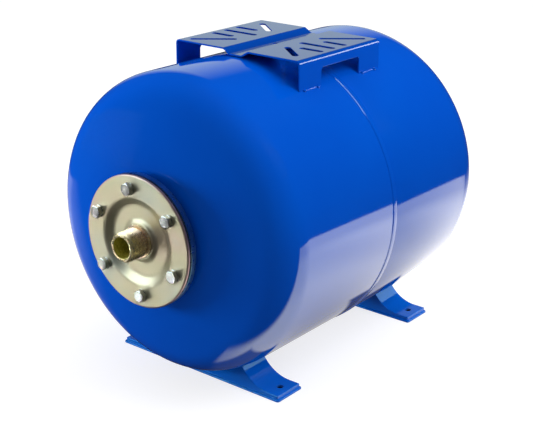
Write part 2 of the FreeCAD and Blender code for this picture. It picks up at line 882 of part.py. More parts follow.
os.makedirs("parts", exist_ok=True)
for name, make in nodes.items():
    shape = make()
    shape.exportStep(f"parts/{name}.step")
    box = shape.BoundBox
    print(f"{name}: {len(shape.Solids)} solids, {shape.Volume / 1000:.2f} cm3, valid {shape.isValid()}, "
          f"x {box.XMin:.2f} to {box.XMax:.2f}, y {box.YMin:.2f} to {box.YMax:.2f}, "
          f"z {box.ZMin:.2f} to {box.ZMax:.2f}")
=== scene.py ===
# %% [markdown]
# # A horizontal well pressure tank
# The real object is a drawn steel tank in glossy blue enamel. A passivated zinc flange with a threaded
# nipple closes its front, a folded bracket for a pump sits on top, and two pressed feet carry it.
# The hidden solids are loaded first. Every piece below is modelled to the same sizes and then stands
# for its solid.

# %% Load the frame
import json
import math

import bmesh
import bpy
from mathutils import Matrix, Vector


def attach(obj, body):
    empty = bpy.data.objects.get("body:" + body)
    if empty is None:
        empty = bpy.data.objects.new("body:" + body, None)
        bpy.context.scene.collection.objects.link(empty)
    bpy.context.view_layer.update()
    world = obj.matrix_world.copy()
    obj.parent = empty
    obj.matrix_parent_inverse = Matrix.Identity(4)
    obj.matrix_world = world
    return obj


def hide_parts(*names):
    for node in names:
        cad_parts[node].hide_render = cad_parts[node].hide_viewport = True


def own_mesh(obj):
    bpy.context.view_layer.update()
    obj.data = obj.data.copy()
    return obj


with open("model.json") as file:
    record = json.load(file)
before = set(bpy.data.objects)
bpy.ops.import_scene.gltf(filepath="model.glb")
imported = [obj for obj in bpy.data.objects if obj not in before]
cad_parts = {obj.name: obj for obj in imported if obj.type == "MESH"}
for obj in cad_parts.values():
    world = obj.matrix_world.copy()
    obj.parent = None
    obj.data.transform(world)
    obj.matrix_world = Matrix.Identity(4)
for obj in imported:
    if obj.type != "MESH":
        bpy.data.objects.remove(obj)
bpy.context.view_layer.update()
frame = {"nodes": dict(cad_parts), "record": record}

# %% [markdown]
# ## Working sizes
# Blender works in metres, and a tank like this is drawn in millimetres. One factor turns the drawing's
# numbers into metres, and each size is written once, so a step never repeats a bare number.

# %% Sizes that several pieces share
MM = 0.001
AXIS_Z = 192.5 * MM
GIRTH_Y = 5.775 * MM
SHELL_R = 173.5 * MM
SHELL_WALL = 1.8 * MM
BEAD_R = 174.5 * MM
FACE_Y = -231.674 * MM
COVER = 3.0 * MM
RUBBER = 2.0 * MM
RING = 8.0 * MM
FLANGE_R = 75.0 * MM
LIP_Y = FACE_Y + COVER
RING_Y = LIP_Y + RUBBER
RING_BACK_Y = RING_Y + RING
COLLAR_Y = FACE_Y + 3.5 * MM
ALONG = (0.0, 1.0, 0.0)
TINY = 1e-6
print("girth at", GIRTH_Y, "flange face at", FACE_Y)

# %% [markdown]
# ## Helpers for modelling by hand
# Almost every round piece starts the way a turner would start: one point is extruded into the outline
# of the section, and the outline is spun round the tank's axis. Folded and pressed pieces start from an
# outline too, which is filled and pulled to its width.

# %% Outlines with rounded corners
def rounded(corners, closed=True, steps=6):
    """Outline through (a, b, radius) corners, where each radius above nought becomes an arc."""
    points = []
    count = len(corners)
    for index, (a, b, radius) in enumerate(corners):
        here = Vector((a, b))
        at_end = not closed and index in (0, count - 1)
        if radius <= 0 or at_end:
            points.append((a, b))
            continue
        before = Vector(corners[index - 1][:2])
        after = Vector(corners[(index + 1) % count][:2])
        come = (here - before).normalized()
        leave = (after - here).normalized()
        turn = come.angle_signed(leave)
        reach = radius * math.tan(abs(turn) / 2)
        side = -1 if turn > 0 else 1
        normal = Vector((-come.y, come.x)) * side
        centre = here - come * reach + normal * radius
        first = -normal * radius
        for step in range(steps + 1):
            angle = side * abs(turn) * step / steps
            swung = Vector((first.x * math.cos(angle) - first.y * math.sin(angle),
                            first.x * math.sin(angle) + first.y * math.cos(angle)))
            points.append(tuple(centre + swung))
    return points


def arc(centre_a, centre_b, radius, start, end, steps):
    """Points on an arc whose angles are counted from the second axis towards the first."""
    points = []
    for step in range(steps + 1):
        angle = start + (end - start) * step / steps
        points.append((centre_a + radius * math.sin(angle), centre_b + radius * math.cos(angle)))
    return points


# %% Starting and finishing a piece
def deselect():
    """Leave edit mode and select nothing."""
    if bpy.context.object and bpy.context.object.mode == "EDIT":
        bpy.ops.object.mode_set(mode="OBJECT")
    bpy.ops.object.select_all(action="DESELECT")


def one_point(name, place):
    """New mesh of one selected point, left in edit mode."""
    deselect()
    bpy.ops.mesh.primitive_plane_add(size=MM, location=(0, 0, 0))
    piece = bpy.context.object
    piece.name = piece.data.name = name
    bpy.ops.object.mode_set(mode="EDIT")
    bpy.ops.mesh.select_mode(type="VERT")
    bpy.ops.mesh.select_all(action="SELECT")
    bpy.ops.mesh.merge(type="CENTER")
    bpy.ops.transform.translate(value=place)
    return piece


def draw_line(points):
    """Extrude the selected point along the rest of the points."""
    for before, after in zip(points, points[1:]):
        step = Vector(after) - Vector(before)
        bpy.ops.mesh.extrude_region_move(TRANSFORM_OT_translate={"value": step})


def close_up(smooth=30.0):
    """Merge doubles, turn all faces outwards and shade smooth up to an angle."""
    bpy.ops.mesh.select_all(action="SELECT")
    bpy.ops.mesh.remove_doubles(threshold=TINY)
    bpy.ops.mesh.normals_make_consistent(inside=False)
    bpy.ops.object.mode_set(mode="OBJECT")
    bpy.ops.object.shade_smooth_by_angle(angle=math.radians(smooth))


def only(piece):
    """Make this piece the one that is selected and active."""
    deselect()
    piece.select_set(True)
    bpy.context.view_layer.objects.active = piece


def shade(piece, angle):
    """Shade a piece smooth up to an angle in degrees."""
    only(piece)
    bpy.ops.object.shade_smooth_by_angle(angle=math.radians(angle))


def use_modifier(piece, kind, **settings):
    """Add a modifier, set it up and apply it."""
    only(piece)
    modifier = piece.modifiers.new(kind.lower(), kind)
    for key, value in settings.items():
        setattr(modifier, key, value)
    bpy.ops.object.modifier_apply(modifier=modifier.name)


def cut(piece, tool, operation="DIFFERENCE"):
    """Take a tool away from a piece, or join or keep what they share, and drop the tool."""
    use_modifier(piece, "BOOLEAN", object=tool, operation=operation, solver="EXACT")
    bpy.data.objects.remove(tool)


def edit(piece):
    """Go into edit mode on a piece with all of it selected."""
    only(piece)
    bpy.ops.object.mode_set(mode="EDIT")
    bpy.ops.mesh.select_all(action="SELECT")


def clean(piece):
    """Merge the slivers that a cut can leave, so that the skin stays closed."""
    edit(piece)
    bpy.ops.mesh.dissolve_degenerate(threshold=5 * TINY)
    bpy.ops.mesh.remove_doubles(threshold=5 * TINY)
    bpy.ops.object.mode_set(mode="OBJECT")


def round_edges(piece, wanted, width, segments, clamp=False):
    """Bevel the edges whose two ends a test accepts. The piece stays in edit mode."""
    only(piece)
    bpy.ops.object.mode_set(mode="EDIT")
    bpy.ops.mesh.select_mode(type="EDGE")
    bpy.ops.mesh.select_all(action="DESELECT")
    mesh = bmesh.from_edit_mesh(piece.data)
    for edge in mesh.edges:
        edge.select_set(wanted(edge.verts[0].co, edge.verts[1].co))
    bmesh.update_edit_mesh(piece.data)
    bpy.ops.mesh.bevel(offset=width, segments=segments, affect="EDGES", clamp_overlap=clamp)


def soften(piece, width, segments=2, angle=35.0, smooth=40.0):
    """Round the sharp edges a little and keep flat faces flat to the eye."""
    use_modifier(piece, "BEVEL", width=width, segments=segments, limit_method="ANGLE",
                 angle_limit=math.radians(angle), miter_outer="MITER_ARC", use_clamp_overlap=True)
    bpy.ops.object.shade_smooth_by_angle(angle=math.radians(smooth))
    use_modifier(piece, "WEIGHTED_NORMAL", keep_sharp=True)


def lathe(name, outline, steps=128, z=AXIS_Z, ring=True):
    """Spin an outline of (radius, y) round a line along Y. A ring's outline closes on itself."""
    path = [(radius, y, z) for radius, y in outline]
    if ring:
        path.append(path[0])
    piece = one_point(name, path[0])
    draw_line(path)
    bpy.ops.mesh.select_all(action="SELECT")
    bpy.ops.mesh.spin(steps=steps, angle=2 * math.pi, center=(0, 0, z), axis=ALONG)
    close_up()
    return piece


def block(name, outline, depth):
    """Fill an outline of (x, z) and pull it along Y, centred on the origin."""
    path = [(x, -depth / 2, z) for x, z in outline]
    piece = one_point(name, path[0])
    draw_line(path + [path[0]])
    bpy.ops.mesh.select_all(action="SELECT")
    bpy.ops.mesh.remove_doubles(threshold=TINY)
    bpy.ops.mesh.edge_face_add()
    bpy.ops.mesh.extrude_region_move(TRANSFORM_OT_translate={"value": (0, depth, 0)})
    close_up()
    return piece


def rod(name, radius, start, end, steps=48):
    """Plain round bar between two places."""
    start, end = Vector(start), Vector(end)
    deselect()
    bpy.ops.mesh.primitive_cylinder_add(vertices=steps, radius=radius, depth=(end - start).length)
    piece = bpy.context.object
    piece.name = piece.data.name = name
    turn = (end - start).to_track_quat("Z", "Y").to_matrix().to_4x4()
    piece.matrix_world = Matrix.Translation((start + end) / 2) @ turn
    settle(piece)
    return piece


def hexagon(name, flats, height, middle, turn=0.0):
    """Hexagonal bar along Y round its middle, turned by an angle in degrees."""
    deselect()
    corner = flats / 2 / math.cos(math.radians(30))
    bpy.ops.mesh.primitive_cylinder_add(vertices=6, radius=corner, depth=height, location=middle,
                                        rotation=(math.pi / 2, math.radians(turn), 0))
    piece = bpy.context.object
    piece.name = piece.data.name = name
    settle(piece)
    return piece


def settle(piece):
    """Put the place, turn and scale of a piece into its mesh."""
    only(piece)
    bpy.ops.object.transform_apply(location=True, rotation=True, scale=True)


def raise_to_axis(piece):
    """Lift a piece that was made round the Y axis to the tank's axis."""
    piece.location = (0, 0, AXIS_Z)
    settle(piece)


def copied(piece, name, matrix):
    """A copy with its own mesh, moved by a matrix."""
    twin = piece.copy()
    twin.data = piece.data.copy()
    twin.name = twin.data.name = name
    bpy.context.collection.objects.link(twin)
    twin.matrix_world = matrix
    settle(twin)
    return twin


def joined(pieces, name):
    """Several pieces as one object."""
    deselect()
    for piece in pieces:
        piece.select_set(True)
    bpy.context.view_layer.objects.active = pieces[0]
    bpy.ops.object.join()
    pieces[0].name = pieces[0].data.name = name
    return pieces[0]


def threaded(name, radius, depth, pitch, start_y, end_y, steps):
    """Solid bar along Y with a real helical thread, cut square at both ends."""
    length = end_y - start_y
    turns = math.ceil(length / pitch) + 3
    root = radius - depth
    tooth = [(root, 0.0), (root, 0.08 * pitch), (radius, 0.46 * pitch), (radius, 0.54 * pitch),
             (root, 0.92 * pitch), (root, pitch)]
    path = [(r, y - 1.5 * pitch, 0.0) for r, y in tooth]
    piece = one_point(name, path[0])
    draw_line(path)
    bpy.ops.object.mode_set(mode="OBJECT")
    use_modifier(piece, "SCREW", axis="Y", angle=2 * math.pi, screw_offset=pitch,
                 iterations=turns, steps=steps, render_steps=steps)
    bpy.ops.object.mode_set(mode="EDIT")
    bpy.ops.mesh.select_all(action="SELECT")
    bpy.ops.mesh.remove_doubles(threshold=10 * TINY)
    for y, way in ((0.0, -1), (length, 1)):
        bpy.ops.mesh.select_all(action="SELECT")
        bpy.ops.mesh.bisect(plane_co=(0, y, 0), plane_no=(0, way, 0), use_fill=True, clear_outer=True,
                            threshold=0.01 * TINY)
    close_up(smooth=25.0)
    piece.location = (0.0, start_y, 0.0)
    settle(piece)
    return piece


pieces = {}


def keep(piece, body, slot, *nodes):
    """Attach a piece to its body, note its finish and hide the solids it stands for."""
    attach(piece, body)
    if nodes:
        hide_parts(*nodes)
    pieces[piece.name] = slot
    print(piece.name, len(piece.data.polygons), "faces")


# %% [markdown]
# ## The two halves of the shell
# Each half is deep drawn from one blank, so a cylinder, a tight knuckle and a shallow crown flow into
# each other. A spun section gives exactly that, and many steps keep the mirror-like paint smooth.

# %% The section of a drawn head
CROWN_R = 475.0 * MM
KNUCKLE_R = 45.0 * MM
HALF_CYLINDER = 158.0 * MM
CROWN_BACK = math.sqrt((CROWN_R - KNUCKLE_R) ** 2 - (SHELL_R - KNUCKLE_R) ** 2)
KNUCKLE_START = math.asin((SHELL_R - KNUCKLE_R) / (CROWN_R - KNUCKLE_R))


def head(opening, inset, way):
    """Section from an opening out to the cylinder, on the outer face or inset from it."""
    crown = CROWN_R - inset
    start = math.asin(opening / crown)
    points = arc(0.0, HALF_CYLINDER - CROWN_BACK, crown, start, KNUCKLE_START, 22)
    knuckle = arc(SHELL_R - KNUCKLE_R, HALF_CYLINDER, KNUCKLE_R - inset, KNUCKLE_START, math.pi / 2, 14)
    points += knuckle[1:]
    return [(radius, GIRTH_Y + way * reach) for radius, reach in points]


# %% The front half with its neck
NECK_IN = 51.787 * MM
NECK_OUT = NECK_IN + SHELL_WALL
INSIDE_R = SHELL_R - SHELL_WALL
NECK_ROOT = 0.8 * MM
NECK_MOUTH = 1.0 * MM
outer = head(NECK_OUT + NECK_ROOT, 0.0, -1)
inner = head(NECK_IN + NECK_ROOT + SHELL_WALL, SHELL_WALL, -1)
section = [(NECK_OUT, RING_Y), (NECK_OUT, outer[0][1] - NECK_ROOT)]
section += outer + [(SHELL_R, GIRTH_Y), (INSIDE_R, GIRTH_Y)] + inner[::-1]
section += [(NECK_IN, inner[0][1] - NECK_ROOT), (NECK_IN, RING_Y + NECK_MOUTH),
            (NECK_IN + 0.3 * NECK_MOUTH, RING_Y + 0.3 * NECK_MOUTH), (NECK_IN + NECK_MOUTH, RING_Y)]
front_half = lathe("front_half", section, steps=288)
keep(front_half, "tank", "blue_paint", "front_shell")

# %% The rear half with its joggled tongue
BOSS_HOLE = 10.1 * MM
TONGUE_END = GIRTH_Y - 9.0 * MM
STEP_LOW = GIRTH_Y + 1.5 * MM
STEP_HIGH = GIRTH_Y + 6.0 * MM
TONGUE_R = INSIDE_R - 0.1 * MM
section = head(BOSS_HOLE, 0.0, 1) + [(SHELL_R, STEP_HIGH), (TONGUE_R, STEP_LOW), (TONGUE_R, TONGUE_END)]
section += [(TONGUE_R - SHELL_WALL, TONGUE_END), (TONGUE_R - SHELL_WALL, STEP_LOW), (INSIDE_R, STEP_HIGH)]
section += head(BOSS_HOLE, SHELL_WALL, 1)[::-1]
rear_half = lathe("rear_half", section, steps=288)
keep(rear_half, "tank", "blue_paint", "rear_shell")

# %% [markdown]
# ## The girth weld
# The bead fills the joggle and stands a millimetre proud. Its flanks are steep and its back is nearly
# flat, so the paint mirrors something else on each flank, and the bead shows as a fine double line.

# %% The weld bead round the girth
BEAD_LOW = GIRTH_Y - 2.0 * MM
BEAD_MID = (BEAD_LOW + STEP_HIGH) / 2
FLANK = 1.0 * MM
bead = rounded([
    (SHELL_R, BEAD_LOW, 0.0),
    (BEAD_R - 0.1 * MM, BEAD_LOW + FLANK, 0.6 * MM),
    (BEAD_R, BEAD_MID, 20.0 * MM),
    (BEAD_R - 0.1 * MM, STEP_HIGH - FLANK, 0.6 * MM),
    (SHELL_R, STEP_HIGH, 0.0),
    (TONGUE_R, STEP_LOW, 0.0),
    (TONGUE_R, GIRTH_Y, 0.0),
    (SHELL_R, GIRTH_Y, 0.0),
], steps=6)
girth_bead = lathe("girth_bead", bead, steps=288)
keep(girth_bead, "tank", "blue_paint", "girth_weld")

# %% [markdown]
# ## The water flange
# From the front come the pressed cover, the lip of the rubber bladder, and a loose zinc plated ring on
# the neck with the tapped holes. The cover is a pressing, so its section has one thickness all over.

# %% Where the bolts stand
BOLT_CIRCLE = 60.0 * MM
BOLT_COUNT = 6
BOLT_PHASE = math.radians(-6.8)


def bolt_places():
    """The (x, z) places of the bolts."""
    places = []
    for index in range(BOLT_COUNT):
        angle = BOLT_PHASE + index * 2 * math.pi / BOLT_COUNT
        places.append((BOLT_CIRCLE * math.sin(angle), AXIS_Z + BOLT_CIRCLE * math.cos(angle)))
    return places


def drill(piece, radius, y0, y1):
    """Drill the ring of bolt holes."""
    bits = [rod("bit", radius, (x, y0, z), (x, y1, z), 32) for x, z in bolt_places()]
    cut(piece, joined(bits, "bits"))


# %% The pressed cover
DISC_Y = FACE_Y + 7.0 * MM
SPIGOT_HOLE = 17.0 * MM
RISE_IN, RISE_OUT = 20.6 * MM, 24.2 * MM
SLOPE_IN, SLOPE_OUT = 39.8 * MM, 50.1 * MM
COVER_HOLE = 4.5 * MM
back_slope = COVER * math.tan(math.atan2(DISC_Y - FACE_Y, SLOPE_OUT - SLOPE_IN) / 2)
back_rise = COVER * math.tan(math.atan2(DISC_Y - COLLAR_Y, RISE_OUT - RISE_IN) / 2)
SLOPE_TOP = 11.0 * MM
SLOPE_FOOT = 12.0 * MM
RISE_TOP = 4.2 * MM
RISE_FOOT = 8.0 * MM
section = rounded([
    (SPIGOT_HOLE, COLLAR_Y, 0.3 * MM),
    (RISE_IN, COLLAR_Y, RISE_TOP),
    (RISE_OUT, DISC_Y, RISE_FOOT),
    (SLOPE_IN, DISC_Y, SLOPE_FOOT),
    (SLOPE_OUT, FACE_Y, SLOPE_TOP),
    (FLANGE_R, FACE_Y, 2.2 * MM),
    (FLANGE_R, FACE_Y + COVER, 0.2 * MM),
    (SLOPE_OUT + back_slope, FACE_Y + COVER, SLOPE_TOP - COVER),
    (SLOPE_IN + back_slope, DISC_Y + COVER, SLOPE_FOOT + COVER),
    (RISE_OUT - back_rise, DISC_Y + COVER, RISE_FOOT + COVER),
    (RISE_IN - back_rise, COLLAR_Y + COVER, RISE_TOP - COVER),
    (SPIGOT_HOLE, COLLAR_Y + COVER, 0.0),
], steps=10)
cover = lathe("flange_cover_pressing", section, steps=192)
drill(cover, COVER_HOLE, FACE_Y - 5 * MM, FACE_Y + 2 * COVER)
shade(cover, 32.0)
keep(cover, "tank", "zinc_plate", "flange_cover")

# %% The ring behind it
RING_HOLE = 4.05 * MM
section = rounded([
    (NECK_OUT + 0.1 * MM, RING_Y, 0.2 * MM),
    (FLANGE_R, RING_Y, 0.8 * MM),
    (FLANGE_R, RING_BACK_Y, 0.8 * MM),
    (NECK_OUT + 0.1 * MM, RING_BACK_Y, 0.2 * MM),
], steps=4)
ring = lathe("tapped_ring", section, steps=192)
drill(ring, RING_HOLE, RING_Y - RING, RING_BACK_Y + RING)
shade(ring, 32.0)
use_modifier(ring, "WEIGHTED_NORMAL", keep_sharp=True)
keep(ring, "tank", "zinc_plate", "neck_ring")

# %% The rubber bladder, of which only the lip shows
THROAT_IN = NECK_IN - 0.3 * MM - RUBBER
THROAT_END = RING_BACK_Y + 10 * MM
BAG_R = 128.0 * MM
BAG_END = LIP_Y + 300 * MM
TIP_END = BAG_END + 45 * MM
LIP_HOLE = 5.0 * MM
front = rounded([
    (FLANGE_R - MM, LIP_Y, 0.3 * MM),
    (THROAT_IN, LIP_Y, 3.0 * MM),
    (THROAT_IN, THROAT_END, 5.0 * MM),
    (BAG_R, THROAT_END + 62 * MM, 30.0 * MM),
    (BAG_R, BAG_END, 30.0 * MM),
    (40 * MM, TIP_END, 25.0 * MM),
    (0.0, TIP_END, 0.0),
], closed=False, steps=8)
bag = lathe("bladder_bag", front, steps=96, ring=False)
edit(bag)
bpy.ops.mesh.flip_normals()
bpy.ops.object.mode_set(mode="OBJECT")
use_modifier(bag, "SOLIDIFY", thickness=RUBBER, offset=1.0, use_even_offset=True)
drill(bag, LIP_HOLE, LIP_Y - RUBBER, RING_Y + RUBBER)
keep(bag, "tank", "black_rubber", "bladder")

# %% [markdown]
# ## The threaded nipple
# Its G1 thread is a real helix here. One tooth is screwed round the axis and the ends are cut square.
# A turned blank then trims it to a short plain tip, out of which the first turns rise on a taper.

# %% The nipple
NOZZLE_TIP = COLLAR_Y - 26.3 * MM
THREAD_END = NOZZLE_TIP + 20.8 * MM
SHOULDER_Y = THREAD_END + 3.0 * MM
SPIGOT_END = COLLAR_Y + 6.0 * MM
NOZZLE_BORE = 12.0 * MM
TIP_R = 15.05 * MM
G1_THREAD = {"radius": 16.62 * MM, "depth": 1.48 * MM, "pitch": 2.309 * MM}
screw = threaded("nipple", **G1_THREAD, start_y=NOZZLE_TIP - MM, end_y=THREAD_END + MM, steps=64)
raise_to_axis(screw)
blank = lathe("blank", [
    (0.0, NOZZLE_TIP),
    (14.3 * MM, NOZZLE_TIP),
    (TIP_R, NOZZLE_TIP + 0.7 * MM),
    (TIP_R, NOZZLE_TIP + 1.7 * MM),
    (18.0 * MM, NOZZLE_TIP + 4.0 * MM),
    (18.0 * MM, THREAD_END),
    (14.9 * MM, THREAD_END + 1.6 * MM),
    (0.0, THREAD_END + 1.6 * MM),
], steps=64, ring=False)
cut(screw, blank, "INTERSECT")
clean(screw)
body = lathe("nipple_body", rounded([
    (0.0, THREAD_END - 2 * MM, 0.0),
    (15.0 * MM, THREAD_END - 2 * MM, 0.0),
    (15.0 * MM, SHOULDER_Y, 0.4 * MM),
    (18.8 * MM, SHOULDER_Y, 0.4 * MM),
    (18.8 * MM, COLLAR_Y, 0.2 * MM),
    (16.9 * MM, COLLAR_Y, 0.0),
    (16.9 * MM, SPIGOT_END, 0.0),
    (0.0, SPIGOT_END, 0.0),
], closed=False, steps=4), steps=96, ring=False)
cut(screw, body, "UNION")
bore = lathe("bore", [
    (0.0, NOZZLE_TIP - MM),
    (NOZZLE_BORE + 1.6 * MM, NOZZLE_TIP - MM),
    (NOZZLE_BORE, NOZZLE_TIP + 0.6 * MM),
    (NOZZLE_BORE, SPIGOT_END + MM),
    (0.0, SPIGOT_END + MM),
], steps=96, ring=False)
cut(screw, bore)
shade(screw, 28.0)
keep(screw, "tank", "zinc_plate", "nozzle")

# %% [markdown]
# ## Bolts and spring washers
# One M8 bolt is modelled and copied to the six places, each copy turned a little further, because no
# fitter stops the heads at the same angle. The washers are split rings whose ends stand apart.

# %% One hexagon bolt
HEAD = 5.3 * MM
FLATS = 13.0 * MM
WASHER = 2.0 * MM
SHANK = 18.0 * MM
M8_THREAD = {"radius": 4.0 * MM, "depth": 0.65 * MM, "pitch": 1.25 * MM}


def model_bolt():
    """Bolt on the Y axis with the seat of its head at the origin and its shank towards +Y."""
    bolt = hexagon("bolt", FLATS, HEAD, (0, -HEAD / 2, 0))
    turned = lathe("turned", [
        (0.0, -HEAD + 0.5 * MM),
        (3.0 * MM, -HEAD),
        (6.1 * MM, -HEAD),
        (7.8 * MM, -HEAD + 0.95 * MM),
        (7.8 * MM, MM),
        (0.0, MM),
    ], steps=64, z=0.0, ring=False)
    cut(bolt, turned, "INTERSECT")
    shank = threaded("shank", **M8_THREAD, start_y=-0.5 * MM, end_y=SHANK, steps=32)
    tip = lathe("tip", [
        (0.0, -MM), (4.2 * MM, -MM), (4.2 * MM, SHANK - MM), (3.2 * MM, SHANK), (0.0, SHANK),
    ], steps=32, z=0.0, ring=False)
    cut(shank, tip, "INTERSECT")
    cut(bolt, shank, "UNION")
    shade(bolt, 28.0)
    return bolt


# %% One spring washer
def model_washer():
    """Split washer on the Y axis, from the origin to -Y."""
    washer = lathe("washer", rounded([
        (4.2 * MM, -WASHER, 0.2 * MM), (7.3 * MM, -WASHER, 0.4 * MM),
        (7.3 * MM, 0.0, 0.4 * MM), (4.2 * MM, 0.0, 0.2 * MM),
    ], steps=3), steps=64, z=0.0)
    deselect()
    bpy.ops.mesh.primitive_cube_add(size=1.0, location=(0, -WASHER / 2, 6 * MM),
                                    rotation=(0, 0, math.radians(20)), scale=(1.4 * MM, 6 * MM, 6 * MM))
    gap = bpy.context.object
    settle(gap)
    cut(washer, gap)
    shade(washer, 30.0)
    return washer


# %% Six of each
bolt = model_bolt()
washer = model_washer()
bolts, washers = [], []
for index, (x, z) in enumerate(bolt_places()):
    place = Matrix.Translation((x, FACE_Y - WASHER, z))
    spin = Matrix.Rotation(math.radians(-17 * index), 4, "Y")
    bolts.append(copied(bolt, f"bolt_{index}", place @ spin))
    place = Matrix.Translation((x, FACE_Y, z))
    spin = Matrix.Rotation(math.radians(45 + 70 * index), 4, "Y")
    washers.append(copied(washer, f"washer_{index}", place @ spin))
bpy.data.objects.remove(bolt)
bpy.data.objects.remove(washer)
keep(joined(bolts, "m8_bolts"), "tank", "bolt_zinc", "flange_bolts")
keep(joined(washers, "spring_washers"), "tank", "bolt_zinc", "flange_lock_washers")

# %% [markdown]
# ## The pump bracket
# One sheet is folded into leg, platform, valley, platform and leg. The upper face is drawn as a line,
# pulled to its length and given its thickness, and then the slots, the leg windows and the round trim
# on the shell are cut out of it, as the press and the laser would.

# %% The folded sheet
SHEET = 2.0 * MM
PLATFORM_Z = 374.7 * MM
VALLEY_Z = PLATFORM_Z - 5.7 * MM
BRACKET_Y = GIRTH_Y + 4.7 * MM
BRACKET_X = 90.6 * MM
BRACKET_L = 154.0 * MM
PLATFORM_X = 17.8 * MM
VALLEY_X = 8.0 * MM
LEG_LOW = 325.0 * MM

half = [
    (VALLEY_X, VALLEY_Z, 1.5 * MM),
    (PLATFORM_X, PLATFORM_Z, 3.5 * MM),
    (BRACKET_X, PLATFORM_Z, 4.5 * MM),
    (BRACKET_X, LEG_LOW, 0.0),
]
fold = rounded([(-x, z, radius) for x, z, radius in reversed(half)] + half, closed=False, steps=7)
path = [(x, BRACKET_Y - BRACKET_L / 2, z) for x, z in fold]
bracket = one_point("folded_bracket", path[0])
draw_line(path)
bpy.ops.mesh.select_all(action="SELECT")
bpy.ops.mesh.extrude_region_move(TRANSFORM_OT_translate={"value": (0, BRACKET_L, 0)})
close_up()
top_up = max(bracket.data.polygons, key=lambda face: face.area).normal.z > 0
use_modifier(bracket, "SOLIDIFY", thickness=SHEET, offset=-1.0 if top_up else 1.0, use_even_offset=True)

# %% Slots, each with its place, length and angle
SLOT_W = 7.5 * MM
SLOTS = [
    (65.5 * MM, -22.5 * MM, 32.0 * MM, 0.0),
    (57.0 * MM, 0.0, 49.0 * MM, 0.0),
    (65.5 * MM, 22.5 * MM, 32.0 * MM, 0.0),
    (53.8 * MM, -44.0 * MM, 48.0 * MM, -40.0),
    (56.6 * MM, 49.7 * MM, 55.0 * MM, 40.0),
]


def slot_tool(x, y, length, angle):
    """Upright cutter with two round ends."""
    radius = SLOT_W / 2
    reach = length / 2 - radius
    ends = []
    for side in (1, -1):
        for step in range(13):
            swing = math.pi / 2 - math.pi * step / 12
            ends.append((side * (reach + radius * math.cos(swing)), side * radius * math.sin(swing)))
    tool = block("slot_tool", ends, 6 * SHEET)
    turn = Matrix.Rotation(math.radians(angle), 4, "Z") @ Matrix.Rotation(math.pi / 2, 4, "X")
    tool.matrix_world = Matrix.Translation((x, BRACKET_Y + y, PLATFORM_Z)) @ turn
    settle(tool)
    return tool


tools = [slot_tool(side * x, side * y, length, angle)
         for x, y, length, angle in SLOTS for side in (1, -1)]
cut(bracket, joined(tools, "slot_tools"))

# %% Windows in the legs, trim on the shell and drain hole
WINDOW_L = 73.0 * MM
WINDOW_TOP = PLATFORM_Z - 13.7 * MM
CORNER = 4.5 * MM
window = rounded([
    (-WINDOW_L / 2, LEG_LOW - MM, 0.0), (-WINDOW_L / 2, WINDOW_TOP, CORNER),
    (WINDOW_L / 2, WINDOW_TOP, CORNER), (WINDOW_L / 2, LEG_LOW - MM, 0.0),
], steps=8)
for side in (1, -1):
    tool = block("window_tool", window, 20 * MM)
    tool.matrix_world = (Matrix.Translation((side * BRACKET_X, BRACKET_Y, 0))
                         @ Matrix.Rotation(math.pi / 2, 4, "Z"))
    settle(tool)
    cut(bracket, tool)
HULL_REACH = 150 * MM
hull = rod("hull", SHELL_R, (0, -HULL_REACH, AXIS_Z), (0, HULL_REACH, AXIS_Z), 512)
cut(bracket, hull)
DRAIN_X = -4 * MM
DRAIN_REACH = 10 * MM
drain = rod("drain", 3.0 * MM, (DRAIN_X, BRACKET_Y, VALLEY_Z - DRAIN_REACH),
            (DRAIN_X, BRACKET_Y, VALLEY_Z + DRAIN_REACH), 32)
cut(bracket, drain)
soften(bracket, 0.35 * MM, segments=2, angle=50.0, smooth=32.0)
keep(bracket, "tank", "blue_paint", "pump_bracket")

# %% [markdown]
# ## Welds that show
# The bracket's legs are tacked to the shell with short, uneven blobs. Each one starts as a ball that is
# flattened along the shell and roughened by a cloud texture on its surface.

# %% Tack welds on the bracket
def blob(name, place, size, seed):
    """Uneven drop of weld metal."""
    deselect()
    bpy.ops.mesh.primitive_ico_sphere_add(subdivisions=4, radius=1.0)
    drop = bpy.context.object
    drop.name = drop.data.name = name
    cloud = bpy.data.textures.new(name, "CLOUDS")
    cloud.noise_scale = 0.7
    cloud.noise_depth = 1
    shift = Matrix.Translation((seed * 1.7, seed * 0.9, seed * 2.3))
    guide = bpy.data.objects.new(name + "_guide", None)
    guide.matrix_world = shift
    bpy.context.collection.objects.link(guide)
    use_modifier(drop, "DISPLACE", texture=cloud, texture_coords="OBJECT", texture_coords_object=guide,
                 strength=0.35, mid_level=0.5)
    bpy.data.objects.remove(guide)
    drop.location = place
    drop.scale = size
    settle(drop)
    bpy.ops.object.shade_smooth()
    return drop


LEG_Z = AXIS_Z + math.sqrt(SHELL_R ** 2 - BRACKET_X ** 2)
tacks = []
for side in (-1, 1):
    for index, y in enumerate((-68.0, -43.0, 43.0, 68.0)):
        place = (side * (BRACKET_X + 0.4 * MM), BRACKET_Y + y * MM, LEG_Z)
        size = (2.0 * MM, (2.4 + 0.3 * (index % 2)) * MM, 2.2 * MM)
        tacks.append(blob(f"tack_{len(tacks)}", place, size, len(tacks) + 1))
    for y in (-55.5, 55.5):
        place = (side * (BRACKET_X + 0.1 * MM), BRACKET_Y + y * MM, LEG_Z)
        tacks.append(blob(f"tack_{len(tacks)}", place, (0.8 * MM, 13.0 * MM, 0.9 * MM), len(tacks) + 1))
keep(joined(tacks, "bracket_tacks"), "tank", "blue_paint", "bracket_welds")

# %% [markdown]
# ## The pressed feet
# A foot is one pressing: flat pads with a bolt hole, hollow ramps that climb to the shell, and a saddle
# that follows it. The outer form is pulled from its outline and its upper edges are rounded, and the
# same outline, set in by the sheet's thickness, is then taken out from below.

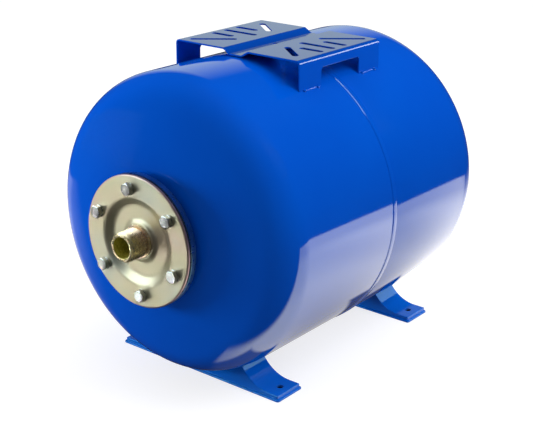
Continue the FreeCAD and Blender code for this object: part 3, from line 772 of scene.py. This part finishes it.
# %% The outline of a foot
FOOT_SHEET = 2.5 * MM
FOOT_HALF = 122.0 * MM
FOOT_W = 45.0 * MM
RIM = 2.2 * MM
SHOULDER_ROUND = 3.5 * MM
RIM_CORNER = 3.0 * MM
RIM_ROUND = 1.1 * MM
PAD_Z = 6.8 * MM
PAD_L = 15.0 * MM
RAMP_R = 45.0 * MM
RAMP_SWEEP = math.radians(64.0)
SADDLE_R = SHELL_R + 0.3 * MM
FOOT_HOLE_X = 107.0 * MM


def foot_outline(inset, low):
    """Half of the outline from the middle of the saddle to the floor, mirrored into a whole."""
    end_x = FOOT_HALF - RIM - inset
    ramp_x = FOOT_HALF - RIM - PAD_L
    radius = RAMP_R + inset
    centre_z = PAD_Z + RAMP_R
    saddle = SADDLE_R + inset
    ramp = []
    for step in range(25):
        angle = RAMP_SWEEP * 1.2 * step / 24
        x, z = ramp_x - radius * math.sin(angle), centre_z - radius * math.cos(angle)
        if math.hypot(x, z - AXIS_Z) < saddle:
            break
        ramp.append((x, z))
    crest_x = ramp[-1][0]
    swing = math.asin(crest_x / saddle)
    arc_points = [(saddle * math.sin(swing * step / 24), AXIS_Z - saddle * math.cos(swing * step / 24))
                  for step in range(25)]
    half_line = arc_points + ramp[::-1] + [(end_x, PAD_Z - inset), (end_x, low)]
    return [(-x, z) for x, z in reversed(half_line[1:])] + half_line


# %% One foot
def upper_edge(first, second):
    """Whether an edge runs along the top of a foot or round the end of its pad."""
    middle = (first + second) / 2
    along_rim = abs(first.y - second.y) < TINY and middle.z > TINY
    pad_end = abs(middle.x) > FOOT_HALF - RIM - TINY and middle.z > PAD_Z - TINY
    return along_rim or pad_end


def model_foot():
    """Foot with rounded upper edges, a rim on the floor and a hollow underside."""
    width = FOOT_W - 2 * RIM
    foot = block("foot", foot_outline(0.0, 0.0), width)
    round_edges(foot, upper_edge, SHOULDER_ROUND, 6, clamp=True)
    close_up(smooth=35.0)
    deselect()
    bpy.ops.mesh.primitive_cube_add(size=1.0, location=(0, 0, FOOT_SHEET / 2),
                                    scale=(2 * FOOT_HALF, FOOT_W, FOOT_SHEET))
    rim = bpy.context.object
    settle(rim)
    round_edges(rim, lambda first, second: abs(first.z - second.z) > TINY, RIM_CORNER, 6)
    round_edges(rim, lambda *ends: all(abs(end.z - FOOT_SHEET) < TINY for end in ends), RIM_ROUND, 4)
    cut(foot, rim, "UNION")
    hollow = block("hollow", foot_outline(FOOT_SHEET, -FOOT_SHEET), width - 2 * FOOT_SHEET)
    cut(foot, hollow)
    for side in (1, -1):
        hole_x = side * FOOT_HOLE_X
        cut(foot, rod("bit", 4.0 * MM, (hole_x, 0, -10 * MM), (hole_x, 0, 20 * MM), 32))
    soften(foot, 0.3 * MM, segments=2, angle=50.0, smooth=35.0)
    return foot


FRONT_FOOT_Y = GIRTH_Y - 121.0 * MM
REAR_FOOT_Y = GIRTH_Y + 151.0 * MM
foot = model_foot()
front_foot = copied(foot, "front_foot_pressing", Matrix.Translation((0, FRONT_FOOT_Y, 0)))
rear_foot = copied(foot, "rear_foot_pressing", Matrix.Translation((0, REAR_FOOT_Y, 0)))
bpy.data.objects.remove(foot)
keep(front_foot, "tank", "blue_paint", "front_foot")
keep(rear_foot, "tank", "blue_paint", "rear_foot")

# %% Welds between the feet and the shell
welds = []
for place_y in (FRONT_FOOT_Y, REAR_FOOT_Y):
    for side in (-1, 1):
        for end in (-1, 1):
            for bump in range(5):
                angle = math.radians(side * 14.0) + (bump - 2) * 2.9 * MM / SHELL_R
                place = (SHELL_R * math.sin(angle), place_y + end * (FOOT_W / 2 - RIM + 0.1 * MM),
                         AXIS_Z - SHELL_R * math.cos(angle))
                size = (2.1 * MM, 1.9 * MM, 1.8 * MM)
                welds.append(blob(f"weld_{len(welds)}", place, size, len(welds) + 20))
keep(joined(welds, "foot_weld_beads"), "tank", "blue_paint", "foot_welds")

# %% [markdown]
# ## The air valve at the rear
# A welded boss holds a brass valve of the kind that tyres have. Its stem has a real 8V1 thread, so it
# looks right when the cap is off, and a coiled spring sits in its core.

# %% Boss and gasket
HEAD_APEX = GIRTH_Y + HALF_CYLINDER + CROWN_R - CROWN_BACK
BOSS_TOP = HEAD_APEX + 6.0 * MM
STEM_TIP = BOSS_TOP + 17.5 * MM
boss = lathe("valve_socket", rounded([
    (5.45 * MM, HEAD_APEX - 3.8 * MM, 0.2 * MM),
    (10.0 * MM, HEAD_APEX - 3.8 * MM, 0.3 * MM),
    (10.0 * MM, HEAD_APEX, 0.0),
    (12.0 * MM, HEAD_APEX, 0.0),
    (12.0 * MM, BOSS_TOP, 0.6 * MM),
    (5.45 * MM, BOSS_TOP, 0.3 * MM),
], steps=4), steps=96)
keep(boss, "tank", "blue_paint", "valve_boss")
gasket = lathe("valve_washer", rounded([
    (5.5 * MM, BOSS_TOP, 0.2 * MM), (6.8 * MM, BOSS_TOP, 0.3 * MM),
    (6.8 * MM, BOSS_TOP + MM, 0.3 * MM), (5.5 * MM, BOSS_TOP + MM, 0.2 * MM),
], steps=3), steps=64)
keep(gasket, "tank", "black_rubber", "valve_gasket")

# %% The brass valve
HEX_Y = BOSS_TOP + MM
HEX_FLATS = 14.0 * MM
HEX_L = 4.5 * MM
valve = hexagon("brass_valve", HEX_FLATS, HEX_L, (0, HEX_Y + HEX_L / 2, AXIS_Z), turn=30)
cut(valve, lathe("turned", [
    (0.0, HEX_Y - MM), (8.2 * MM, HEX_Y - MM), (8.2 * MM, HEX_Y + 3.7 * MM),
    (7.0 * MM, HEX_Y + 4.5 * MM), (0.0, HEX_Y + 4.5 * MM),
], steps=64, ring=False), "INTERSECT")
thread = rod("screw", 5.4 * MM, (0, HEX_Y - 9.5 * MM, AXIS_Z), (0, HEX_Y + 0.5 * MM, AXIS_Z), 64)
cut(valve, thread, "UNION")
VALVE_THREAD = {"radius": 3.85 * MM, "depth": 0.45 * MM, "pitch": 0.794 * MM}
stem = threaded("stem", **VALVE_THREAD, start_y=HEX_Y + 4.0 * MM, end_y=STEM_TIP + MM, steps=32)
raise_to_axis(stem)
cut(stem, lathe("tip", [
    (0.0, HEX_Y), (4.0 * MM, HEX_Y), (4.0 * MM, STEM_TIP - 0.75 * MM),
    (3.25 * MM, STEM_TIP), (0.0, STEM_TIP),
], steps=48, ring=False), "INTERSECT")
clean(stem)
cut(valve, stem, "UNION")
clean(valve)
cut(valve, lathe("bore", [
    (0.0, STEM_TIP - 20 * MM), (2.7 * MM, STEM_TIP - 20 * MM), (2.7 * MM, STEM_TIP - 0.4 * MM),
    (3.1 * MM, STEM_TIP + 0.1 * MM), (3.1 * MM, STEM_TIP + MM), (0.0, STEM_TIP + MM),
], steps=48, ring=False))
cut(valve, rod("air", 1.8 * MM, (0, HEX_Y - 12 * MM, AXIS_Z), (0, STEM_TIP - 19 * MM, AXIS_Z), 32))
clean(valve)
shade(valve, 28.0)
keep(valve, "tank", "valve_brass", "valve_body")

# %% The spring in the valve's core, which the pin's collar presses together
SPRING_LOW = STEM_TIP - 7.0 * MM
SPRING_HIGH = STEM_TIP - 2.3 * MM
WIRE_R = 0.16 * MM
COILS = 4
seat = WIRE_R + 0.05 * MM
deselect()
bpy.ops.mesh.primitive_circle_add(vertices=12, radius=WIRE_R, location=(1.08 * MM, SPRING_LOW + seat, 0))
spring = bpy.context.object
spring.name = spring.data.name = "core_spring"
settle(spring)
use_modifier(spring, "SCREW", axis="Y", angle=2 * math.pi, steps=24, render_steps=24, iterations=COILS,
             screw_offset=(SPRING_HIGH - SPRING_LOW - 2 * seat) / COILS)
bpy.ops.object.mode_set(mode="EDIT")
bpy.ops.mesh.select_all(action="SELECT")
bpy.ops.mesh.fill_holes(sides=0)
close_up(smooth=60.0)
raise_to_axis(spring)
keep(spring, "tank", "spring_steel", "valve_spring")
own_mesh(spring)

# %% The screw cap with its finger grooves
CAP_TOP = STEM_TIP + 2.55 * MM
CAP_LOW = STEM_TIP - 9.5 * MM
cap = lathe("screw_cap", rounded([
    (0.0, CAP_TOP - 1.5 * MM, 0.0),
    (3.95 * MM, CAP_TOP - 1.5 * MM, 0.0),
    (3.95 * MM, CAP_LOW, 0.3 * MM),
    (6.0 * MM, CAP_LOW, 0.3 * MM),
    (6.0 * MM, CAP_TOP, 0.9 * MM),
    (0.0, CAP_TOP, 0.0),
], closed=False, steps=5), steps=96, ring=False)
grooves = []
for index in range(12):
    angle = index * math.pi / 6
    x, z = 6.35 * MM * math.sin(angle), AXIS_Z + 6.35 * MM * math.cos(angle)
    grooves.append(rod("groove", 0.7 * MM, (x, CAP_LOW - MM, z), (x, CAP_TOP - 1.6 * MM, z), 16))
cut(cap, joined(grooves, "grooves"))
soften(cap, 0.12 * MM, segments=2, angle=40.0, smooth=35.0)
keep(cap, "cap", "black_plastic", "valve_cap")

# %% [markdown]
# ## Finishes
# Each finish is a small set of nodes on object coordinates. Paint, zinc and rubber all get a little
# change of colour and gloss over their surface, because nothing real is the same all over.

# %% A start for every finish
def add_node(tree, kind, inputs=None, **settings):
    """New node with its settings; each input is linked to a socket or set to a value."""
    made = tree.nodes.new("ShaderNode" + kind)
    for key, value in settings.items():
        setattr(made, key, value)
    for key, value in (inputs or {}).items():
        if isinstance(value, bpy.types.NodeSocket):
            tree.links.new(value, made.inputs[key])
        else:
            made.inputs[key].default_value = value
    return made


def finish_of(name, color, roughness, metallic=0.0):
    """New material with its shader, and a coordinate node for its patterns."""
    material = bpy.data.materials.new(name)
    material.use_nodes = True
    shader = material.node_tree.nodes["Principled BSDF"]
    shader.inputs["Base Color"].default_value = (*color, 1.0)
    shader.inputs["Roughness"].default_value = roughness
    shader.inputs["Metallic"].default_value = metallic
    return material, shader, add_node(material.node_tree, "TexCoord")


# %% Patterns
def noise(material, place, scale, detail=2.0, stretch=None):
    """Noise pattern on the piece, stretched along its axes if asked."""
    tree = material.node_tree
    source = place.outputs["Object"]
    if stretch:
        source = add_node(tree, "Mapping", {"Vector": source, "Scale": stretch}).outputs["Vector"]
    return add_node(tree, "TexNoise", {"Vector": source, "Scale": scale, "Detail": detail}).outputs["Fac"]


def ramp(material, value, stops):
    """Colour ramp with the given (position, colour) stops."""
    made = add_node(material.node_tree, "ValToRGB", {"Fac": value})
    while len(made.color_ramp.elements) < len(stops):
        made.color_ramp.elements.new(0.5)
    for element, (position, color) in zip(made.color_ramp.elements, stops):
        element.position = position
        element.color = (*color, 1.0)
    return made.outputs["Color"]


def spread(material, value, low, high, start=0.3, end=0.7):
    """Turn a pattern into a number between low and high."""
    return add_node(material.node_tree, "MapRange", {
        "Value": value, "From Min": start, "From Max": end, "To Min": low, "To Max": high,
    }).outputs["Result"]


def mixed(material, share, first, second):
    """Colour that goes from the first to the second as the share goes from nought to one."""
    ends = [(*value, 1.0) if isinstance(value, tuple) else value for value in (first, second)]
    made = add_node(material.node_tree, "Mix", {"Factor": share, "A": ends[0], "B": ends[1]},
                    data_type="RGBA")
    return made.outputs["Result"]


def from_axis(material, place):
    """Distance of each point from the tank's long axis, for finishes that change from rim to middle."""
    tree = material.node_tree
    flat = add_node(tree, "Mapping", {
        "Vector": place.outputs["Object"], "Location": (0.0, 0.0, -AXIS_Z), "Scale": (1.0, 0.0, 1.0),
    })
    return add_node(tree, "VectorMath", {0: flat.outputs["Vector"]}, operation="LENGTH").outputs["Value"]


# %% What a surface does all over
def two_tone(material, shader, place, scale, detail, tones, ends=(0.35, 0.65)):
    """Let the colour drift between two tones."""
    drift = ramp(material, noise(material, place, scale, detail), list(zip(ends, tones)))
    material.node_tree.links.new(drift, shader.inputs["Base Color"])


def grain(material, shader, place, gloss, bumps, stretch=None):
    """Let the roughness drift between two values and add fine bumps, each on a noise of its own."""
    links = material.node_tree.links
    scale, detail, low, high = gloss
    links.new(spread(material, noise(material, place, scale, detail, stretch), low, high),
              shader.inputs["Roughness"])
    scale, detail, strength, height = bumps
    raised = add_node(material.node_tree, "Bump", {
        "Height": noise(material, place, scale, detail, stretch), "Strength": strength, "Distance": height,
    })
    links.new(raised.outputs["Normal"], shader.inputs["Normal"])


# %% [markdown]
# ### Blue enamel
# Thick sprayed enamel levels out to a mirror with a faint orange peel. It is a saturated blue under a
# clear gloss, so the base stays deep and the gloss does the work.

# %% The blue enamel
def enamel_of(name, dark, light, gloss):
    """Blue enamel between two tones; gloss is the index of its clear top."""
    material, shader, place = finish_of(name, dark, 0.06)
    two_tone(material, shader, place, 9.0, 3.0, (dark, light))
    grain(material, shader, place, (60.0, 4.0, 0.045, 0.075), (240.0, 1.0, 0.05, 0.0001))
    shader.inputs["IOR"].default_value = gloss
    shader.inputs["Specular Tint"].default_value = (0.9, 0.97, 0.86, 1.0)
    return material


enamel = enamel_of("blue_enamel", (0.0, 0.083, 0.585), (0.0, 0.090, 0.61), 1.62)
# A greener, lighter copy of the same enamel for the feet: a painted sheen for the cyan cast the light
# gives them.
foot_enamel_painted_sheen = enamel_of("foot_enamel_painted_sheen", (0.0, 0.118, 0.59), (0.0, 0.128, 0.62), 1.5)

# %% [markdown]
# ### Yellow passivated zinc
# The cover and the nipple are zinc plated and passivated. That leaves a pale gold film with rose and
# green tints where its thickness changes, and a stronger yellow where the bath stood longest. A rose
# band round the cover's rim is a painted highlight on its rounded edge.

# %% The film of the passivation
FILM = [
    (0.25, (0.52, 0.56, 0.46)), (0.42, (0.62, 0.60, 0.44)), (0.55, (0.64, 0.60, 0.40)),
    (0.68, (0.66, 0.56, 0.42)), (0.8, (0.54, 0.58, 0.48)),
]
gold, shader, place = finish_of("passivated_zinc", (0.6, 0.55, 0.38), 0.3, 0.9)
film = ramp(gold, noise(gold, place, 16.0, 2.0), FILM)
# Painted highlight: a rose band on the outer 2.5 mm of the cover, where its rounded edge catches the
# light.
rim = spread(gold, from_axis(gold, place), 0.0, 1.0, FLANGE_R - 2.5 * MM, FLANGE_R)
gold.node_tree.links.new(mixed(gold, rim, film, (0.66, 0.44, 0.42)), shader.inputs["Base Color"])
grain(gold, shader, place, (40.0, 4.0, 0.32, 0.40), (260.0, 2.0, 0.04, 0.0001))

# %% The nipple, where the film is thick
nipple_film, shader, place = finish_of("thick_passivation", (0.6, 0.5, 0.25), 0.28, 0.9)
links = nipple_film.node_tree.links
film = ramp(nipple_film, noise(nipple_film, place, 28.0, 1.0), [
    (0.3, (0.72, 0.68, 0.38)), (0.5, (0.82, 0.70, 0.40)), (0.7, (0.80, 0.62, 0.46)),
])
# Inside the bore the colour turns a darker, duller yellow and less metallic.
inside = spread(nipple_film, from_axis(nipple_film, place), 1.0, 0.0, NOZZLE_BORE, NOZZLE_BORE + 0.5 * MM)
links.new(mixed(nipple_film, inside, film, (0.42, 0.38, 0.05)), shader.inputs["Base Color"])
links.new(spread(nipple_film, inside, 0.9, 0.35, 0.0, 1.0), shader.inputs["Metallic"])
grain(nipple_film, shader, place, (200.0, 3.0, 0.22, 0.34), (400.0, 1.0, 0.03, 0.0001))

# %% The plain zinc of bolts and washers
zinc, shader, place = finish_of("white_zinc", (0.76, 0.77, 0.75), 0.22, 1.0)
two_tone(zinc, shader, place, 120.0, 3.0, ((0.68, 0.69, 0.67), (0.84, 0.84, 0.80)))
grain(zinc, shader, place, (300.0, 4.0, 0.16, 0.28), (500.0, 2.0, 0.04, 0.0001))

# %% The ring's zinc, with its teal-blue tint a painted reflection of the blue tank
zinc_painted_blue_reflection, shader, place = finish_of("zinc_painted_blue_reflection", (0.22, 0.40, 0.48), 0.3, 1.0)
two_tone(zinc_painted_blue_reflection, shader, place, 60.0, 2.0, ((0.18, 0.36, 0.42), (0.26, 0.44, 0.54)))
grain(zinc_painted_blue_reflection, shader, place, (200.0, 3.0, 0.24, 0.38), (150.0, 1.0, 0.02, 0.0001))

# %% Rubber, brass, black plastic and spring steel
rubber, shader, place = finish_of("black_rubber", (0.018, 0.018, 0.019), 0.62)
grain(rubber, shader, place, (200.0, 4.0, 0.55, 0.75), (900.0, 2.0, 0.2, 0.0001))

TURNED = (1.0, 8.0, 1.0)
brass, shader, place = finish_of("turned_brass", (0.78, 0.57, 0.24), 0.25, 1.0)
two_tone(brass, shader, place, 160.0, 3.0, ((0.66, 0.47, 0.19), (0.84, 0.63, 0.29)), ends=(0.3, 0.7))
grain(brass, shader, place, (500.0, 3.0, 0.16, 0.34), (500.0, 2.0, 0.1, 0.00005), TURNED)

plastic, shader, place = finish_of("moulded_plastic", (0.02, 0.02, 0.021), 0.42)
grain(plastic, shader, place, (300.0, 3.0, 0.36, 0.5), (1500.0, 2.0, 0.15, 0.00005))

steel, shader, place = finish_of("spring_wire", (0.6, 0.61, 0.63), 0.3, 1.0)
grain(steel, shader, place, (800.0, 3.0, 0.22, 0.4), (2000.0, 2.0, 0.1, 0.00003))

# %% Put the finishes on
FINISHES = {
    "blue_paint": enamel, "zinc_plate": gold, "bolt_zinc": zinc, "black_rubber": rubber,
    "valve_brass": brass, "black_plastic": plastic, "spring_steel": steel,
}
OWN_FINISH = {
    "tapped_ring": zinc_painted_blue_reflection, "nipple": nipple_film,
    "front_foot_pressing": foot_enamel_painted_sheen, "rear_foot_pressing": foot_enamel_painted_sheen,
}
for name, slot in pieces.items():
    piece = bpy.data.objects[name]
    piece.data.materials.clear()
    piece.data.materials.append(OWN_FINISH.get(name, FINISHES[slot]))
slot_of = {part["node"]: part["material_slot"] for part in frame["record"]["subparts"]}
for node, thing in frame["nodes"].items():
    for material_slot in thing.material_slots:
        material_slot.material = FINISHES[slot_of[node]]
print("finished", len(pieces), "pieces")

# %% [markdown]
# ## Floor, light and camera
# The tank stands on a white floor before a white backdrop, as in a catalogue, but only the camera sees
# them so. In the mirror of the paint the floor is a bright table that ends about a metre out, fades
# near the tank, where the tank's shadow is painted into its glow, and is dim on the left, and the room
# is dark but for one card behind the tank. A painted shadow darkens it in front of each foot. That
# makes the large pale shape on the shell and leaves the rest deep blue.

# %% Sums in a node tree
def number(tree, operation, first, second=None):
    """One step of sums in a node tree; a value is a socket or a plain number."""
    values = {0: first} if second is None else {0: first, 1: second}
    return add_node(tree, "Math", values, operation=operation).outputs[0]


def fade(tree, value, low, high, at_low=0.0, at_high=1.0):
    """Soft step between two values."""
    return add_node(tree, "MapRange", {
        "Value": value, "From Min": low, "From Max": high, "To Min": at_low, "To Max": at_high,
    }, interpolation_type="SMOOTHSTEP").outputs["Result"]


def pick(tree, share, first, second):
    """Shader that goes from the first to the second with the share."""
    return add_node(tree, "MixShader", {"Fac": share, 1: first, 2: second}).outputs[0]


# %% The floor
FLOOR_TONE = (0.4, 0.4, 0.4)
FLOOR_GLOW = 0.74
DIM = 0.02
deselect()
bpy.ops.mesh.primitive_plane_add(size=12.0, location=(0, 0, 0))
floor = bpy.context.object
floor.name = "floor"
white, shader, place = finish_of("white_floor", FLOOR_TONE, 0.9)
shader.inputs["Specular IOR Level"].default_value = 0.0
floor.data.materials.append(white)
tree = white.node_tree
split = add_node(tree, "SeparateXYZ", {0: place.outputs["Object"]})
x, y = split.outputs["X"], split.outputs["Y"]
off_x = number(tree, "ABSOLUTE", x)
radius = add_node(tree, "VectorMath", {0: place.outputs["Object"]}, operation="LENGTH").outputs["Value"]

# %% How bright the table is in the mirror of the paint: its edge, the tank's painted shadow near it, far out, and to each side
TABLE_REACH = 1.05
TABLE_EDGE = 0.04
TABLE_GLOW = 2.8
LEFT_SHARE = 0.31
from_left = number(tree, "ADD", x, number(tree, "MULTIPLY", y, 0.5))
behind = number(tree, "SUBTRACT", y, number(tree, "MULTIPLY", x, 1.26))
parts = [
    fade(tree, radius, TABLE_REACH - TABLE_EDGE, TABLE_REACH + TABLE_EDGE, 1.0, 0.0),
    # Painted shadow of the tank: near it the table's glow drops to a quarter.
    fade(tree, radius, 0.08, 0.31, 0.24, 1.0),
    fade(tree, radius, 0.55, 0.80, 1.0, 0.7),
    fade(tree, from_left, -0.08, 0.06, LEFT_SHARE, 1.0),
    fade(tree, y, -0.40, 0.0, 1.7, 1.0),
    fade(tree, y, 0.20, 0.45, 1.0, 1.35),
    number(tree, "MAXIMUM", fade(tree, radius, 0.35, TABLE_REACH, 1.0, 0.05),
           number(tree, "MAXIMUM", fade(tree, behind, 0.10, 0.30, 1.0, 0.0),
                  fade(tree, y, 0.05, 0.20, 1.0, 0.0))),
]

# %% The table's slanted front border, and the painted shadows of the feet in the table's glow
line = number(tree, "MINIMUM", fade(tree, x, 0.03, 0.10, -0.17, -0.30),
              number(tree, "ADD", number(tree, "MULTIPLY", x, 0.26), -0.14))
line = number(tree, "MAXIMUM", line, number(tree, "ADD", number(tree, "MULTIPLY", x, 0.3), -0.27))
width = fade(tree, x, -0.1, 0.03, 0.16, 0.03)
past = number(tree, "DIVIDE", number(tree, "SUBTRACT", y, line), width)
parts.append(fade(tree, past, -0.3, 1.0))
# A painted shadow of each foot: a dark box in the table's glow round it.
for foot_y in (FRONT_FOOT_Y, REAR_FOOT_Y):
    off_y = number(tree, "ABSOLUTE", number(tree, "SUBTRACT", y, foot_y - 0.025))
    parts.append(number(tree, "MAXIMUM", fade(tree, off_y, 0.045, 0.06, 0.1, 1.0),
                        fade(tree, off_x, 0.118, 0.13, 0.1, 1.0)))
lit = parts[0]
for part in parts[1:]:
    lit = number(tree, "MULTIPLY", lit, part)
table = add_node(tree, "Emission", {
    "Color": (1.0, 0.97, 0.9, 1.0),
    "Strength": number(tree, "MAXIMUM", number(tree, "MULTIPLY", lit, TABLE_GLOW), DIM),
})

# %% What the floor is to the eye and to soft light: no glow under the hollow feet, and a painted black shade there
painted_foot_shade_mask = None
for foot_y in (FRONT_FOOT_Y, REAR_FOOT_Y):
    off_y = number(tree, "ABSOLUTE", number(tree, "SUBTRACT", y, foot_y))
    off = number(tree, "MAXIMUM", fade(tree, off_y, 0.43 * FOOT_W, 0.45 * FOOT_W),
                 fade(tree, off_x, FOOT_HALF - 4 * MM, FOOT_HALF - 3 * MM))
    painted_foot_shade_mask = off if painted_foot_shade_mask is None else number(tree, "MINIMUM", painted_foot_shade_mask, off)
glow = add_node(tree, "Emission", {"Strength": number(tree, "MULTIPLY", painted_foot_shade_mask, FLOOR_GLOW)})
# Under the hollow feet the floor's colour is painted black, a painted shade.
tree.links.new(mixed(white, painted_foot_shade_mask, (0.01, 0.01, 0.01), FLOOR_TONE), shader.inputs["Base Color"])
both = add_node(tree, "AddShader", {0: shader.outputs[0], 1: glow.outputs[0]})
rays = add_node(tree, "LightPath")
seen = pick(tree, rays.outputs["Is Camera Ray"], shader.outputs[0], both.outputs[0])
seen = pick(tree, rays.outputs["Is Glossy Ray"], seen, table.outputs[0])
tree.links.new(seen, tree.nodes["Material Output"].inputs["Surface"])

# %% The room
BACK_CARD = Vector((-0.63, 0.76, 0.16)).normalized()
CARD_RIM = 0.915
CARD_GLOW = 0.86
WHITE = (1, 1, 1, 1)
world = bpy.data.worlds.new("room")
bpy.context.scene.world = world
world.use_nodes = True
tree = world.node_tree
room = tree.nodes["Background"]
toward = add_node(tree, "TexCoord").outputs["Generated"]
height = add_node(tree, "SeparateXYZ", {0: toward}).outputs["Z"]
tree.links.new(fade(tree, height, -0.1, 0.9, 0.18, 0.55), room.inputs["Strength"])
room.inputs["Color"].default_value = WHITE
facing = add_node(tree, "VectorMath", {0: toward, 1: BACK_CARD}, operation="DOT_PRODUCT").outputs["Value"]
share = number(tree, "DIVIDE", number(tree, "SUBTRACT", facing, CARD_RIM), 1 - CARD_RIM)
card_light = number(tree, "MULTIPLY", number(tree, "MAXIMUM", share, 0.0), CARD_GLOW)
mirror = add_node(tree, "Background", {
    "Color": (0.82, 0.95, 0.74, 1.0), "Strength": number(tree, "MAXIMUM", card_light, DIM),
})
backdrop = add_node(tree, "Background", {"Color": WHITE})
rays = add_node(tree, "LightPath")
seen = pick(tree, rays.outputs["Is Glossy Ray"], room.outputs[0], mirror.outputs[0])
seen = pick(tree, rays.outputs["Is Camera Ray"], seen, backdrop.outputs[0])
tree.links.new(seen, tree.nodes["World Output"].inputs["Surface"])

# %% [markdown]
# ### Lamps
# Three large lamps give a plain, even light, and the gloss doesn't mirror them. The bracket takes a lamp
# from its side in place of two of them, because its flat top would turn pale. The cards are smaller, and
# each lights only the pieces it is linked to, which mirror it: the flange, the bracket's front fold, the
# girth bead and the feet.

# %% Soft lamps
def softbox(name, place, target, size, power, mirrored=False, color=(1, 1, 1)):
    """Area lamp that points at a place. The big ones stand where the gloss can't mirror them."""
    deselect()
    bpy.ops.object.light_add(type="AREA", location=place)
    lamp = bpy.context.object
    lamp.name = name
    lamp.data.shape = "RECTANGLE"
    lamp.data.size, lamp.data.size_y = size
    lamp.data.energy = power
    lamp.data.color = color
    lamp.rotation_euler = (Vector(target) - Vector(place)).to_track_quat("-Z", "Y").to_euler()
    lamp.visible_glossy = mirrored
    return lamp


def shines_on(lamp, *names, through_floor=False, gloss_only=False):
    """Let a lamp light only the named pieces. One that shines through the floor is shaded by them only."""
    group = bpy.data.collections.new(lamp.name + "_pieces")
    for name in names:
        group.objects.link(bpy.data.objects[name])
    lamp.light_linking.receiver_collection = group
    lamp.visible_diffuse = not gloss_only
    if through_floor:
        lamp.light_linking.blocker_collection = group
        lamp.data.cycles.use_multiple_importance_sampling = False


middle = (0.0, 0.0, 0.18)
FLANGE_SET = ("flange_cover_pressing", "nipple", "m8_bolts", "spring_washers")
FEET = ("front_foot_pressing", "rear_foot_pressing")
BRACKET = "folded_bracket"
ALL_BUT_BRACKET = [name for name in pieces if name != BRACKET] + ["floor"]
lamp = softbox("ceiling", (0.3, 0.3, 2.2), middle, (2.6, 2.6), 22.0)
shines_on(lamp, *ALL_BUT_BRACKET)
lamp = softbox("right", (1.6, 0.7, 2.0), middle, (1.4, 1.4), 30.0)
shines_on(lamp, *ALL_BUT_BRACKET)
lamp = softbox("bracket_side", (2.2, 0.3, 0.9), middle, (1.4, 1.0), 18.0)
shines_on(lamp, BRACKET)
softbox("left", (-2.0, -0.95, 0.30), middle, (1.6, 0.55), 56.0)
card = softbox("flange_card", (-0.86, -1.08, -0.29), (0.0, -0.23, 0.19), (1.1, 1.1), 3.6, mirrored=True)
shines_on(card, *FLANGE_SET, through_floor=True)
card = softbox("recess_card", (-0.86, -0.99, 0.78), (0.0, -0.23, 0.16), (1.4, 0.9), 12.0, mirrored=True,
               color=(0.8, 0.9, 1.0))
shines_on(card, *FLANGE_SET)
card = softbox("edge_card", (1.1, 1.2, 0.62), (0.08, 0.0, 0.2), (0.9, 0.5), 9.0, mirrored=True)
shines_on(card, BRACKET, "bracket_tacks")
card = softbox("bead_card", (0.35, -0.45, 1.5), (0.09, 0.0, 0.35), (1.0, 1.0), 14.0, mirrored=True,
               color=(0.7, 0.9, 1.0))
shines_on(card, "girth_bead", gloss_only=True)
card = softbox("crest_card", (1.1, 1.2, 0.62), (0.08, 0.0, 0.1), (1.3, 1.0), 11.0, mirrored=True,
               color=(0.5, 0.9, 1.0))
shines_on(card, *FEET)
card = softbox("toe_card", (-0.95, -1.35, 0.35), (0.05, -0.12, 0.02), (0.9, 0.7), 20.0, mirrored=True,
               color=(0.3, 0.9, 1.0))
shines_on(card, *FEET, gloss_only=True)

# %% The camera
EYE = (0.8501, -1.0746, 0.6620)
YAW, PITCH, ROLL = (math.radians(angle) for angle in (38.56, -20.40, 0.44))
SENSOR = 36.0
FOCAL_SHARE = 1191.66 / 533
look = Vector((-math.sin(YAW) * math.cos(PITCH), math.cos(YAW) * math.cos(PITCH), math.sin(PITCH)))
right = look.cross(Vector((0, 0, 1))).normalized()
up = right.cross(look)
right, up = (math.cos(ROLL) * right + math.sin(ROLL) * up,
             math.cos(ROLL) * up - math.sin(ROLL) * right)
deselect()
bpy.ops.object.camera_add(location=(0, 0, 0))
camera = bpy.context.object
camera.matrix_world = Matrix((
    (right.x, up.x, -look.x, EYE[0]),
    (right.y, up.y, -look.y, EYE[1]),
    (right.z, up.z, -look.z, EYE[2]),
    (0, 0, 0, 1),
))
camera.data.sensor_width = SENSOR
camera.data.lens = FOCAL_SHARE * SENSOR
bpy.context.scene.camera = camera
bpy.context.scene.view_settings.view_transform = "Standard"
